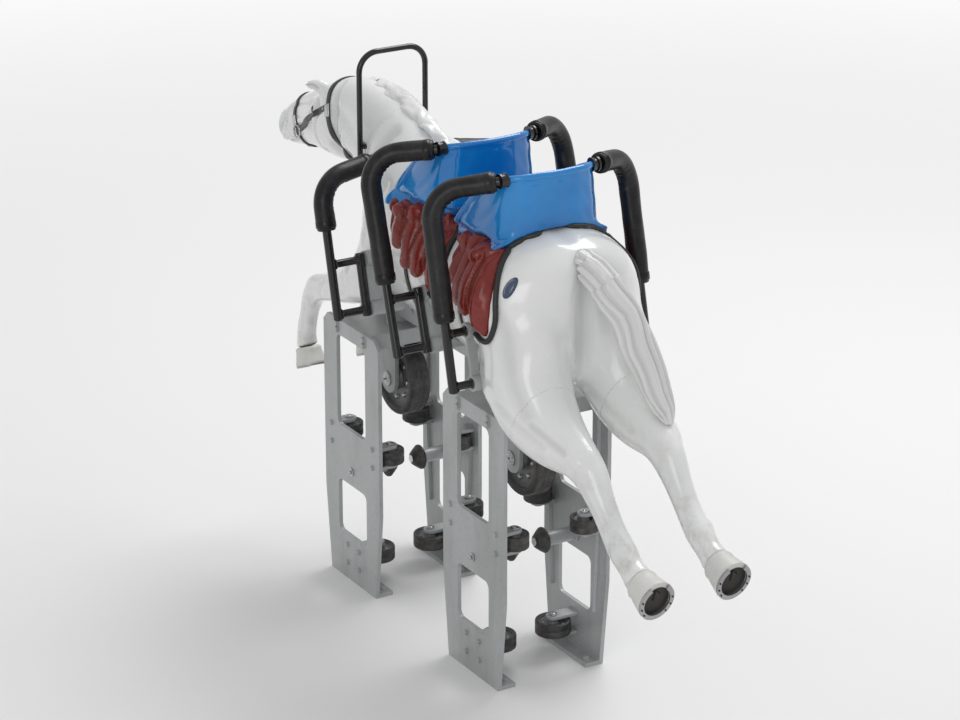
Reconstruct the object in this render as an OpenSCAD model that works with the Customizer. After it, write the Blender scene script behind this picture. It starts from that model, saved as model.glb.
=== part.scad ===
// Horse-shaped two-seat coaster car that straddles one rail tube.
// X points forward, Y to the left and Z up, in millimetres.
// Stations are measured forward from the hind hooves, and heights from the floor
// that the bogie feet stand on when the car is off its rail.

/* [Layout] */
// Station of the middle of the car, which is the model's own X zero
mid_x = 1086.6; // [1000:0.1:1200]
// Station of the rear bogie's kingpin
rear_bogie_x = 820; // [780:5:860]
// Station of the front bogie's kingpin
front_bogie_x = 1500; // [1440:5:1540]
// Height of the flat seat cut in the belly for the chassis beam
belly_z = 872; // [866:1:880]

/* [Rail that the wheels fit] */
// Diameter of the upper rail tube
rail_d = 140; // [120:1:150]
// Height of the upper rail tube's centre line
rail_z = 430; // [400:5:450]
// Diameter of the lower guide tube
guide_rail_d = 76; // [60:1:90]
// Height of the lower guide tube's centre line
guide_rail_z = 80; // [70:1:100]

/* [Wheels] */
// Diameter of a running wheel
run_d = 220; // [190:1:226]
// Width of a running wheel
run_w = 64; // [50:1:70]
// Diameter of a side guide wheel
side_d = 80; // [70:1:84]
// Width of a side guide wheel
side_w = 40; // [30:1:44]
// Distance between the two side guide wheels on one side of a bogie
side_pitch = 240; // [220:5:260]
// Large diameter of a tapered up-stop roller
stop_d = 72; // [60:1:76]
// Small diameter of a tapered up-stop roller
stop_small_d = 38; // [34:1:40]
// Width of an up-stop roller
stop_w = 30; // [24:1:34]
// Diameter of a lower guide wheel
low_d = 100; // [80:1:108]
// Width of a lower guide wheel
low_w = 40; // [30:1:44]
// Diameter of a running wheel's axle
axle_d = 30; // [24:1:36]
// Diameter of a guide wheel's pin
pin_d = 16; // [12:1:20]
// Radial clearance of a wheel on its pin
running_fit = 0.05; // [0.02:0.01:0.1]
// Gap between a wheel's side and the plate beside it
wheel_play = 3; // [2:0.5:6]

/* [Bogies] */
// Width of a bogie across its side plates
bogie_w = 336; // [330:2:350]
// Length of a bogie's side plate
bogie_l = 320; // [300:5:340]
// Thickness of the side plates
plate_t = 12; // [8:1:16]
// Width of each upright leg of a side plate
leg_w = 75; // [60:1:80]
// Height of the top of the bogie
bogie_top = 790; // [780:1:792]
// Depth of the crosshead that joins the side plates
crosshead_h = 46; // [36:1:50]
// Thickness of the lugs that hold the guide wheels' pins
lug_t = 10; // [8:1:12]
// Thickness of the wheel fork's cheeks
cheek_t = 14; // [10:1:18]
// Width of the foot flange
foot_w = 56; // [40:1:60]
// Diameter of a kingpin
kingpin_d = 44; // [36:1:50]
// Length of the side plates' foot
foot_l = 264; // [220:2:300]

/* [Chassis] */
// Width of the chassis beam
beam_w = 70; // [60:1:80]
// Depth of the chassis beam
beam_h = 60; // [50:1:66]
// Station of the beam's rear end
beam_rear_x = 645; // [640:5:700]
// Station of the beam's front end
beam_front_x = 1590; // [1560:5:1600]
// Distance along the beam between the bolt holes for the lift dog
dog_bolts_l = 120; // [80:1:160]
// Distance across the beam between them
dog_bolts_w = 40; // [30:1:46]
// Diameter of the bolt holes
dog_bolt_d = 11; // [9:0.5:14]
// Depth of the bolt holes
dog_bolt_h = 30; // [20:1:40]

/* [Guard bars] */
// Distance of the guard bars' outer tubes from the middle
guard_y = 300; // [280:1:310]
// Distance of the front and middle rungs' inner uprights from the middle
rung_in_y = 210; // [206:1:216]
// Distance of the rear rungs' inner ends from the middle, wider for the hips
hip_rung_y = 244; // [240:1:250]
// Diameter of the guard bars' tube
guard_d = 25; // [20:1:28]
// Diameter of the foam pads
pad_d = 56; // [44:1:60]
// Radius of the guard bars' bend, on the tube's centre line
guard_bend = 85; // [60:1:100]
// Height of the lower rungs
rung_z = 905; // [895:1:920]
// Distance between the lower and the upper rungs
rung_pitch = 135; // [120:1:150]

/* [Seats] */
// Station of the rear seat's back
rear_seat_x = 672; // [660:1:690]
// Distance between the two seats
seat_pitch = 318; // [310:1:330]
// Height of the top of the backrests
seat_top = 1452; // [1430:1:1480]
// Height of the seat pans
pan_z = 1310; // [1300:1:1330]
// Width of a backrest at its top
seat_w = 276; // [250:1:290]
// Thickness of the seat shells
shell_t = 14; // [10:1:18]
// Thickness of the skirt that follows the horse's back
skirt_t = 18; // [12:1:24]
// Height of the skirt's lower edge
skirt_z = 1218; // [1200:1:1230]
// Length of the skirt
skirt_l = 286; // [240:1:300]
// Thickness of the saddle flaps
flap_t = 14; // [10:1:18]
// Distance of the saddle flaps from the seat's back
flap_x = 52; // [46:1:60]

/* [Hoop and straps] */
// Height of the hoop's top centre line
hoop_top = 1562; // [1540:1:1580]
// Place of the hoop along the neck, in rows of the neck's table past its joint
hoop_place = 0.15; // [0.1:0.05:0.5]
// Diameter of the hoop's tube
hoop_d = 16; // [12:1:20]
// Radius of the hoop's bends
hoop_bend = 55; // [40:1:70]
// Thickness of the bridle's straps
strap_t = 4; // [3:0.5:6]
// Width of the bridle's straps
strap_w = 20; // [14:1:26]

/* [Hidden] */
// Sides of a section of the moulded horse, and smoothing steps between two rows of a table
SIDES = 22;
STEPS = 2;
seat_gap = 0.3;
upright_end = 16;
head_pitch = -20;
neck_gap = 0.9;
beam_top = belly_z;
beam_z = beam_top - beam_h;
plate_in = bogie_w / 2 - plate_t;
run_z = rail_z + rail_d / 2 + run_d / 2;
side_y = rail_d / 2 + side_d / 2;
crosshead_z = bogie_top - crosshead_h;
washer_rim = 24;
washer_t = 5;
low_y = guide_rail_d / 2 + low_d / 2;
stop_z = 346;
stop_y = 28;
dog_x = (rear_bogie_x + front_bogie_x) / 2;
bogie_xs = [rear_bogie_x, front_bogie_x];
seat_xs = [rear_seat_x, rear_seat_x + seat_pitch];

// Every section of the horse is [x, y, z, pitch, over, under, half_width]: the middle of the
// section, the pitch of the form's axis there, and how far the section reaches above the middle,
// below it and to each side.
TRUNK = [
    [538, 0, 1126, 0, 100, 150, 104],
    [570, 0, 1121, 0, 146, 204, 178],
    [622, 0, 1114, 0, 176, 240, 228],
    [690, 0, 1103, 0, 198, 248, 242],
    [770, 0, 1095, 0, 188, 240, 226],
    [870, 0, 1085, 0, 160, 226, 200],
    [1000, 0, 1080, 0, 155, 222, 192],
    [1120, 0, 1085, 0, 185, 228, 188],
    [1220, 0, 1098, 0, 256, 242, 180],
    [1320, 0, 1115, 0, 262, 253, 172],
    [1420, 0, 1125, 0, 218, 250, 158],
    [1490, 0, 1110, 0, 162, 203, 136],
    [1536, 0, 1095, 0, 106, 142, 102],
    [1560, 0, 1085, 0, 66, 92, 54],
];
NECK = [
    [1330, 0, 1160, 30, 208, 215, 146],
    [1430, 0, 1215, 28, 196, 190, 120],
    [1530, 0, 1268, 24, 172, 156, 98],
    [1620, 0, 1306, 12, 148, 136, 84],
    [1700, 0, 1322, -8, 122, 130, 78],
];
// Row of NECK where the neck moulding is joined to the body moulding
NECK_JOINT = 2;
HEAD = [
    [1700, 0, 1322, -8, 122, 130, 78],
    [1768, 0, 1312, -20, 112, 138, 87],
    [1842, 0, 1286, -20, 106, 130, 86],
    [1918, 0, 1260, -20, 100, 102, 71],
    [1994, 0, 1234, -20, 94, 78, 58],
    [2060, 0, 1211, -22, 84, 66, 54],
    [2108, 0, 1192, -26, 72, 58, 56],
    [2142, 0, 1174, -32, 52, 46, 48],
    [2158, 0, 1164, -34, 28, 28, 28],
];
// The left legs; the right ones are mirrored from them
HIND_LEG = [
    [722, 108, 1110, 240, 140, 140, 96],
    [652, 122, 1004, 236, 146, 152, 108],
    [586, 137, 912, 222, 120, 140, 114],
    [516, 137, 848, 205, 108, 110, 98],
    [438, 130, 808, 198, 84, 86, 74],
    [368, 123, 785, 206, 60, 64, 54],
    [318, 119, 758, 224, 48, 58, 46],
    [264, 117, 702, 228, 38, 42, 37],
    [208, 116, 642, 226, 36, 38, 35],
    [162, 116, 603, 222, 41, 44, 38],
    [120, 116, 574, 210, 35, 37, 34],
    [80, 116, 553, 200, 44, 46, 42],
];
HIND_JOINT = 3;
HIND_HOOF = [
    [80, 116, 553, 200, 49, 51, 46],
    [6, 116, 531, 186, 58, 59, 51],
];
FORE_LEG = [
    [1400, 98, 1040, -50, 118, 118, 60],
    [1475, 106, 950, -40, 90, 92, 55],
    [1560, 110, 897, -28, 68, 68, 49],
    [1650, 108, 858, -22, 56, 56, 43],
    [1735, 105, 826, -22, 46, 47, 38],
    [1806, 103, 797, -38, 44, 42, 38],
    [1850, 102, 752, -62, 36, 36, 33],
    [1874, 101, 700, -70, 31, 31, 29],
    [1892, 100, 648, -74, 33, 34, 30],
    [1897, 100, 616, -100, 31, 33, 30],
    [1888, 100, 590, -116, 38, 39, 38],
];
FORE_JOINT = 2;
FORE_HOOF = [
    [1888, 100, 590, -116, 43, 44, 42],
    [1868, 100, 541, -112, 57, 60, 52],
];
EAR = [
    [1812, 40, 1358, 42, 20, 20, 17],
    [1836, 56, 1380, 24, 24, 22, 20],
    [1864, 71, 1388, 6, 21, 19, 17],
    [1889, 84, 1384, -14, 13, 12, 11],
    [1905, 92, 1379, -24, 3, 3, 3],
];
TAIL = [
    [604, -2, 1224, 152, 32, 38, 38],
    [560, -10, 1230, 176, 34, 42, 46],
    [508, -36, 1188, 222, 36, 44, 52],
    [464, -72, 1108, 244, 34, 40, 56],
    [426, -102, 1012, 244, 32, 36, 54],
    [390, -122, 930, 240, 28, 32, 46],
    [356, -130, 868, 236, 20, 24, 34],
    [332, -132, 834, 232, 7, 8, 12],
];
// Ridge of the mane along the crest, with its roots in the neck
MANE = [
    [1270, -6, 1366, 20, 12, 40, 14],
    [1345, -10, 1388, 20, 20, 56, 26],
    [1440, -14, 1408, 14, 24, 66, 30],
    [1540, -16, 1426, 8, 24, 68, 31],
    [1640, -14, 1430, -6, 22, 66, 30],
    [1725, -6, 1416, -18, 20, 50, 26],
    [1800, 0, 1386, -22, 10, 30, 16],
];

function unit(v) = v / norm(v);

// Moves a moulding along a joint's axis by the width of the joint
module past_joint(row) {
    translate(seat_gap * [cos(row[3]), 0, sin(row[3])]) children();
}

// Moves a piece drawn at its station to the model's own frame
module at_station() {
    translate([-mid_x, 0, 0]) children();
}

// Draws a piece of the left side, or its mirror image on the right
module on_side(side) {
    if (side > 0) children();
    else mirror([0, 1, 0]) children();
}

// A table's row at a fractional place, on a smooth curve through its rows
function smooth_row(rows, t) =
    let (
        n = len(rows) - 1,
        i = min(floor(t), n - 1),
        f = t - i,
        a = rows[max(i - 1, 0)],
        b = rows[i],
        c = rows[i + 1],
        d = rows[min(i + 2, n)]
    )
    b + f * ((c - a) / 2 + f * (a - 2.5 * b + 2 * c - d / 2 + f * (1.5 * (b - c) + (d - a) / 2)));

// Points of one egg-shaped section, grown outwards for what lies on the form
function ring(row, grow) =
    let (up = [-sin(row[3]), 0, cos(row[3])])
    [
        for (i = [0:SIDES - 1])
            let (a = 360 * (i + 0.5) / SIDES, reach = cos(a) > 0 ? row[4] : row[5])
                [row[0], row[1] + sin(a) * (row[6] + grow), row[2]] + up * cos(a) * (reach + grow)
    ];

// Solid between two sections of a form
module span(row_a, row_b, grow) {
    ends = [[for (i = [0:SIDES - 1]) i], [for (i = [SIDES - 1:-1:0]) SIDES + i]];
    sides = [for (i = [0:SIDES - 1]) [(i + 1) % SIDES, i, SIDES + i, SIDES + (i + 1) % SIDES]];
    hull() polyhedron(concat(ring(row_a, grow), ring(row_b, grow)), concat(ends, sides));
}

// A moulded form through the rows of its table
module form(rows, first = 0, last = -1, grow = 0, steps = STEPS) {
    end = last < 0 ? len(rows) - 1 : last;
    for (i = [first * steps:end * steps - 1])
        span(smooth_row(rows, i / steps), smooth_row(rows, (i + 1) / steps), grow);
}

module trunk(grow = 0) {
    form(TRUNK, grow = grow);
    form(NECK, last = NECK_JOINT, grow = grow);
}

module horse_form() {
    trunk();
    for (side = [1, -1])
        on_side(side) {
            form(HIND_LEG, last = HIND_JOINT);
            form(FORE_LEG, last = FORE_JOINT);
        }
}

// The body moulding: trunk, neck root, thighs and shoulders, with its seat for the chassis beam
module horse_body() {
    color("white") at_station()
        difference() {
            horse_form();
            translate([beam_rear_x - seat_gap, -beam_w / 2 - seat_gap, 0])
                cube([beam_front_x - beam_rear_x, beam_w + 2 * seat_gap, belly_z]);
        }
}

module head_form(grow = 0) {
    form(NECK, first = NECK_JOINT, grow = grow);
    form(HEAD, grow = grow);
}

module ears(grow = 0) {
    for (side = [1, -1]) on_side(side) form(EAR, grow = grow);
}

module horse_head() {
    color("white") at_station() past_joint(NECK[NECK_JOINT]) {
        head_form();
        ears();
    }
}

module forelegs() {
    color("white") at_station()
        for (side = [1, -1])
            on_side(side) past_joint(FORE_LEG[FORE_JOINT]) form(FORE_LEG, first = FORE_JOINT);
}

module hind_legs() {
    color("white") at_station()
        for (side = [1, -1])
            on_side(side) past_joint(HIND_LEG[HIND_JOINT]) form(HIND_LEG, first = HIND_JOINT);
}

module hooves() {
    color("dimgray") at_station()
        for (side = [1, -1])
            on_side(side) {
                past_joint(HIND_LEG[HIND_JOINT]) past_joint(HIND_HOOF[0]) form(HIND_HOOF, steps = 1);
                past_joint(FORE_LEG[FORE_JOINT]) past_joint(FORE_HOOF[0]) form(FORE_HOOF, steps = 1);
            }
}

// The tail lies on the rump and against the right thigh, a joint's width clear of both
module tail() {
    color("whitesmoke") at_station()
        difference() {
            form(TAIL);
            form(TRUNK, last = 4, grow = seat_gap);
            mirror([0, 1, 0]) form(HIND_LEG, last = HIND_JOINT + 4, grow = 3 * seat_gap);
        }
}

module mane() {
    color("whitesmoke") at_station()
        difference() {
            form(MANE);
            trunk(seat_gap);
            head_form(seat_gap + 0.1);
            ears(2);
        }
}

// Straps that lie on the head: each is a slab across the head's axis, cut to the skin
module bridle() {
    // Slabs are [place in HEAD's rows, length, height, tilt from the head's pitch]
    slabs = [[1, strap_w, 400, 0], [4.4, strap_w, 400, 0], [2.7, 245, strap_w, -12]];
    fit = seat_gap + 0.1;
    color("black") at_station()
        difference() {
            intersection() {
                head_form(strap_t + fit);
                for (s = slabs) {
                    row = smooth_row(HEAD, s[0]);
                    translate([row[0], 0, row[2]])
                        rotate([0, -head_pitch + s[3], 0]) cube([s[1], 300, s[2]], center = true);
                }
            }
            head_form(fit);
            ears(1);
        }
}

// The hoop over the neck, bent from one tube, with its feet on the neck's sides
module neck_hoop() {
    seat = smooth_row(NECK, NECK_JOINT + hoop_place);
    y = seat[6] + hoop_d / 2 + neck_gap;
    low = seat[2] - 14;
    color("black") at_station() translate([seat[0], 0, 0])
        for (side = [1, -1])
            on_side(side)
                bent_bar([0, -1, hoop_top], [0, y, hoop_top], [0, y, low], hoop_bend, hoop_d);
}

// A moulded bucket seat: its pan and skirt sit on the trunk, and its low back wraps round
module seat(x) {
    // Posts round the shell are [along, across, top]: from the middle of the back forward
    posts = [
        [0, 0, 0], [4, 50, 0], [18, 92, -3], [46, 118, -10], [90, 128, -28],
        [150, 130, -58], [215, 128, -88], [270, 120, -112],
    ];
    wide = seat_w / 256;
    flare = 16;
    foot_z = pan_z - 40;
    color("dodgerblue") at_station()
        difference() {
            union() {
                for (side = [1, -1], i = [0:len(posts) - 2])
                    on_side(side) hull()
                        for (p = [posts[i], posts[i + 1]]) {
                            translate([x + p[0], p[1] * wide, seat_top + p[2] - 2])
                                cylinder(d = shell_t, h = 2, $fn = 12);
                            translate([x + p[0], p[1] * wide + flare * sign(p[1]), foot_z])
                                cylinder(d = shell_t, h = 2, $fn = 12);
                        }
                hull()
                    for (p = [[18, 96], [150, 136], [270, 126]], side = [1, -1])
                        translate([x + p[0], side * p[1] * wide, pan_z - 90])
                            cylinder(d = shell_t, h = 90, $fn = 12);
                intersection() {
                    trunk(skirt_t);
                    translate([x + 12, -250, skirt_z]) cube([skirt_l, 500, pan_z - skirt_z]);
                }
            }
            grown_body();
        }
}

// A padded saddle flap hangs on the trunk on each side below a seat's skirt, made of three rolls
module saddle_flaps() {
    // Rolls are [distance from the flap's rear edge, height of the lower end]
    rolls = [[0, 1068], [58, 1076], [116, 1118]];
    roll_w = 61;
    r = 26;
    flap_fit = flap_t + seat_gap;
    color("darkred") at_station()
        difference() {
            intersection() {
                trunk(flap_fit);
                for (side = [1, -1], x = seat_xs, p = rolls)
                    on_side(side) translate([x + flap_x + p[0], 60, 0]) {
                        translate([0, 0, p[1] + r])
                            cube([roll_w, 300, skirt_z - seat_gap - p[1] - r]);
                        for (dx = [r, roll_w - r])
                            translate([dx, 0, p[1] + r]) rotate([-90, 0, 0]) cylinder(r = r, h = 300);
                        translate([r, 0, p[1]]) cube([roll_w - 2 * r, 300, r]);
                    }
            }
            grown_body();
        }
}

// Guard bars are [seat end x, y, z, bend x, z, lower rung x, pad's length below the bend,
// rungs' inner y, inner uprights: 1 or 0]
GUARDS = [
    [1450, 118, 1282, 1412, 1264, 1322, 130, rung_in_y, 1],
    [rear_seat_x + seat_pitch + 46, 147, 1434, 1150, 1412, 990, 330, rung_in_y, 1],
    [rear_seat_x + 46, 147, 1434, 818, 1402, 694, 330, hip_rung_y, 0],
];

// A round bar along a, corner, b with a true bend at the corner, where it is a little thicker
module bent_bar(a, corner, b, bend, d) {
    u = unit(a - corner);
    v = unit(b - corner);
    n = unit(cross(u, v));
    w = cross(n, u);
    turn = acos(u * v);
    t = bend / tan(turn / 2);
    lap = 3;
    swell = 0.8;
    translate(corner)
        rotate([atan2(w.z, n.z), -asin(u.z), atan2(u.y, u.x)]) {
            translate([t - lap, 0, 0]) rotate([0, 90, 0])
                cylinder(d = d, h = norm(a - corner) - t + lap);
            rotate([0, 0, turn]) translate([t - lap, 0, 0]) rotate([0, 90, 0])
                cylinder(d = d, h = norm(b - corner) - t + lap);
            translate([t, bend, 0]) rotate([0, 0, 90 + turn]) rotate_extrude(angle = 180 - turn)
                translate([bend, 0]) circle(d = d + swell);
        }
}

function guard_a(g) = [g[0], g[1], g[2]];
function guard_corner(g) = [g[3], guard_y, g[4]];
function guard_b(g) = [g[5], guard_y, rung_z - guard_d / 2];
// Point on the outer tube at a height
function guard_at(g, z) =
    let (c = guard_corner(g), b = guard_b(g)) c + (b - c) * (c.z - z) / (c.z - b.z);

// A pair of guard bars, each with its two rungs and, but for the rear pair, an inner upright
module guards(g) {
    low = guard_at(g, rung_z);
    high = guard_at(g, rung_z + rung_pitch);
    lean = atan2(high.x - low.x, rung_pitch);
    upright_l = norm(high - low) + 2 * upright_end;
    flange_rim = 14;
    flange_t = 5;
    color("black") at_station()
        for (side = [1, -1])
            on_side(side) {
                bent_bar(guard_a(g), guard_corner(g), guard_b(g), guard_bend, guard_d);
                translate(guard_a(g)) rotate([90, 0, 0])
                    cylinder(d = guard_d + flange_rim, h = flange_t, center = true);
                for (p = [low, high])
                    translate([p.x, g[7], p.z]) rotate([-90, 0, 0])
                        cylinder(d = guard_d - 3, h = guard_y - g[7]);
                if (g[8] > 0)
                    translate([low.x, g[7], low.z]) rotate([0, lean, 0])
                        translate([0, 0, -upright_end]) cylinder(d = guard_d, h = upright_l);
            }
}

// Standoffs between the flank and the guard bars' inner ends, shaped to the horse, with a gusset
module guard_brackets() {
    boss_d = 44;
    gusset_t = 10;
    color("silver") at_station()
        for (side = [1, -1])
            on_side(side)
                difference() {
                    for (g = GUARDS) {
                        low = guard_at(g, rung_z);
                        high = guard_at(g, rung_z + rung_pitch);
                        out = g[7] - g[8] * guard_d / 2 - seat_gap;
                        for (p = [low, high])
                            translate([p.x, 100, p.z]) rotate([-90, 0, 0])
                                cylinder(d = boss_d, h = out - 100);
                        hull()
                            for (p = [low, high])
                                translate([p.x, 100, p.z]) rotate([-90, 0, 0])
                                    cylinder(d = gusset_t, h = out - 100);
                    }
                    grown_body();
                }
}

// The body moulding and the space kept free round it
module grown_body() {
    trunk(seat_gap);
    for (side = [1, -1])
        on_side(side) {
            form(HIND_LEG, last = HIND_JOINT + 1, grow = seat_gap);
            form(FORE_LEG, last = FORE_JOINT + 1, grow = seat_gap);
        }
}

module guard_pads() {
    pad_gap = 0.3;
    bare = 0.18;
    color("black") at_station()
        for (side = [1, -1], g = GUARDS) {
            c = guard_corner(g);
            low = guard_at(g, c.z - g[6]);
            start = guard_a(g) + (c - guard_a(g)) * bare;
            on_side(side) difference() {
                bent_bar(start, c, low, guard_bend, pad_d);
                bent_bar(guard_a(g), c, guard_b(g), guard_bend, guard_d + 2 * pad_gap);
            }
        }
}

// Beam under the belly, with a thrust face over each bogie and bolt holes underneath
module chassis_beam() {
    color("silver") at_station()
        difference() {
            union() {
                translate([beam_rear_x, -beam_w / 2, beam_z])
                    cube([beam_front_x - beam_rear_x, beam_w, beam_h]);
                for (x = bogie_xs)
                    translate([x, 0, bogie_top + seat_gap])
                        cylinder(d = kingpin_d + 50, h = beam_z - bogie_top);
            }
            for (x = bogie_xs)
                translate([x, 0, 0]) cylinder(d = kingpin_d, h = beam_top - 10);
            for (dx = [-1, 1], dy = [-1, 1])
                translate([dog_x + dx * dog_bolts_l / 2, dy * dog_bolts_w / 2, 0])
                    cylinder(d = dog_bolt_d, h = beam_z + dog_bolt_h);
        }
}

// Kingpins pressed into the beam, each with the washer that holds its bogie up
module kingpins() {
    low = crosshead_z - seat_gap;
    color("gray") at_station()
        for (x = bogie_xs)
            translate([x, 0, 0]) {
                translate([0, 0, low]) cylinder(d = kingpin_d, h = beam_top - 10 - low);
                translate([0, 0, low - washer_t]) cylinder(d = kingpin_d + washer_rim, h = washer_t);
            }
}

// Side plate of a bogie in side view: two legs, the webs between them, and a tapered foot end
module side_plate_outline() {
    gap = side_pitch - leg_w;
    window_r = 20;
    taper_z = rail_z - 170;
    half = bogie_l / 2;
    difference() {
        polygon([
            [-foot_l / 2, 0], [foot_l / 2, 0], [half, taper_z], [half, bogie_top - 24],
            [half - 24, bogie_top], [24 - half, bogie_top], [-half, bogie_top - 24], [-half, taper_z],
        ]);
        // Window beside the running wheel
        rounded(-gap / 2, rail_z + 40, gap, crosshead_z - rail_z - 40, window_r);
        // Window between the up-stop roller and the lower guide wheel
        rounded(-gap / 2, guide_rail_z + 60, gap, stop_z - guide_rail_z - 105, window_r);
    }
}

module rounded(x, y, w, h, r) {
    translate([x + r, y]) square([w - 2 * r, h]);
    translate([x, y + r]) square([w, h - 2 * r]);
    for (dx = [r, w - r], dy = [r, h - r]) translate([x + dx, y + dy]) circle(r);
}

// The two side plates of a bogie, each with the foot flange it stands on
module bogie_side_plates(x) {
    color("lightsteelblue") at_station() translate([x, 0, 0])
        for (side = [1, -1])
            on_side(side)
                difference() {
                    union() {
                        translate([0, bogie_w / 2, 0]) rotate([90, 0, 0])
                            linear_extrude(plate_t) side_plate_outline();
                        translate([-foot_l / 2, bogie_w / 2 - foot_w, 0])
                            cube([foot_l, foot_w, plate_t]);
                    }
                    bogie_bores();
                }
}

// The crosshead that joins the side plates and turns on the kingpin, with the wheel fork's cheeks
module bogie_crosshead(x) {
    block_l = 200;
    cheek_r = 42;
    in_y = run_w / 2 + wheel_play;
    reach = plate_in - seat_gap;
    color("lightsteelblue") at_station() translate([x, 0, 0])
        difference() {
            union() {
                translate([-block_l / 2, -reach, crosshead_z]) cube([block_l, 2 * reach, crosshead_h]);
                for (side = [1, -1])
                    on_side(side) translate([0, in_y, 0]) {
                        translate([-cheek_r, 0, run_z]) cube([2 * cheek_r, cheek_t, bogie_top - run_z - 1]);
                        translate([0, 0, run_z]) rotate([-90, 0, 0]) cylinder(r = cheek_r, h = cheek_t);
                    }
            }
            bogie_bores();
        }
}

// Lugs and bosses that reach in from the side plates to hold the guide wheels' pins
module bogie_wheel_brackets(x) {
    boss_d = 40;
    stop_end = stop_y + stop_w + wheel_play;
    // Guide wheels are [along, across, height, width]
    wheels = [
        [-side_pitch / 2, side_y, rail_z, side_w],
        [side_pitch / 2, side_y, rail_z, side_w],
        [0, low_y, guide_rail_z, low_w],
    ];
    color("lightsteelblue") at_station() translate([x, 0, 0])
        for (side = [1, -1])
            on_side(side)
                difference() {
                    union() {
                        for (w = wheels)
                            for (dz = [w[3] / 2 + wheel_play, -w[3] / 2 - wheel_play - lug_t])
                                lug(w[0], w[1], w[2] + dz);
                        translate([0, stop_end, stop_z]) rotate([-90, 0, 0])
                            cylinder(d = boss_d, h = plate_in - seat_gap - stop_end);
                    }
                    bogie_bores();
                }
}

module lug(dx, y, z) {
    r = 20;
    translate([dx, y, z]) cylinder(r = r, h = lug_t);
    translate([dx - r, y, z]) cube([2 * r, plate_in - seat_gap - y, lug_t]);
}

// Bores for the kingpin, the running wheel's axle and the guide wheels' pins
module bogie_bores() {
    fit = running_fit;
    translate([0, 0, crosshead_z - 1]) cylinder(d = kingpin_d + 2 * fit, h = crosshead_h + 2);
    translate([0, 0, crosshead_z - washer_t - 2])
        cylinder(d = kingpin_d + washer_rim + 2, h = washer_t + 2);
    translate([0, 0, run_z]) rotate([90, 0, 0])
        cylinder(d = axle_d + 2 * fit, h = bogie_w - 60, center = true);
    for (side = [1, -1])
        on_side(side) {
            for (dx = [-1, 1])
                translate([dx * side_pitch / 2, side_y, rail_z])
                    cylinder(d = pin_d + 2 * fit, h = side_w + 60, center = true);
            translate([0, low_y, guide_rail_z])
                cylinder(d = pin_d + 2 * fit, h = low_w + 60, center = true);
            translate([0, stop_y, stop_z]) rotate([-90, 0, 0])
                cylinder(d = pin_d + 2 * fit, h = bogie_w / 2 - stop_y + 1);
        }
}

// The axle of the running wheel and the pins of the guide wheels
module bogie_axles(x) {
    head = 4;
    color("gray") at_station() translate([x, 0, 0]) {
        half = run_w / 2 + wheel_play + cheek_t;
        translate([0, 0, run_z]) rotate([90, 0, 0]) {
            cylinder(d = axle_d, h = 2 * half + 10, center = true);
            for (end = [1, -1])
                translate([0, 0, end * (half + head / 2 + seat_gap)])
                    cylinder(d = axle_d + 12, h = head, center = true);
        }
        for (side = [1, -1])
            on_side(side) {
                for (dx = [-1, 1]) upright_pin(dx * side_pitch / 2, side_y, rail_z, side_w);
                upright_pin(0, low_y, guide_rail_z, low_w);
                translate([0, stop_y - 0.5, stop_z]) rotate([-90, 0, 0]) {
                    cylinder(d = pin_d, h = bogie_w / 2 - stop_y + 6);
                    translate([0, 0, -head]) cylinder(d = pin_d + 6, h = head);
                    translate([0, 0, bogie_w / 2 - stop_y + 0.5 + seat_gap])
                        cylinder(d = pin_d + 8, h = head);
                }
            }
    }
}

module upright_pin(dx, y, z, w) {
    head = 4;
    half = w / 2 + wheel_play + lug_t;
    translate([dx, y, z]) {
        cylinder(d = pin_d, h = 2 * half + 2, center = true);
        for (end = [1, -1])
            translate([0, 0, end * (half + head / 2 + seat_gap)])
                cylinder(d = pin_d + 8, h = head, center = true);
    }
}

// A tyred wheel about its own axis: a hub with a dished web and a rounded tread
module wheel(d, w, bore) {
    r = d / 2;
    tyre = r * 0.2;
    edge = w * 0.16;
    web = w * 0.28;
    hub = bore / 2 + r * 0.16;
    rotate_extrude() difference() {
        polygon([
            [bore / 2, -w / 2], [r - edge, -w / 2], [r, -w / 2 + edge], [r, w / 2 - edge],
            [r - edge, w / 2], [bore / 2, w / 2],
        ]);
        for (end = [1, -1])
            polygon([
                [hub, end * w], [hub, end * web], [r - tyre, end * web], [r - tyre + 2, end * w],
            ]);
    }
}

module running_wheel(x) {
    color("darkgray") at_station() translate([x, 0, run_z]) rotate([90, 0, 0])
        wheel(run_d, run_w, axle_d + 2 * running_fit);
}

module side_wheel(x, side, place) {
    color("darkgray") at_station()
        translate([x + place * side_pitch / 2, side * side_y, rail_z])
            wheel(side_d, side_w, pin_d + 2 * running_fit);
}

module low_wheel(x, side) {
    color("darkgray") at_station() translate([x, side * low_y, guide_rail_z])
        wheel(low_d, low_w, pin_d + 2 * running_fit);
}

module up_stop_roller(x, side) {
    color("darkgray") at_station() on_side(side) translate([x, stop_y, stop_z])
        rotate([-90, 0, 0]) rotate_extrude()
            polygon([
                [pin_d / 2 + running_fit, 0], [stop_small_d / 2, 0], [stop_d / 2, stop_w - 6],
                [stop_d / 2, stop_w], [pin_d / 2 + running_fit, stop_w],
            ]);
}

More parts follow.
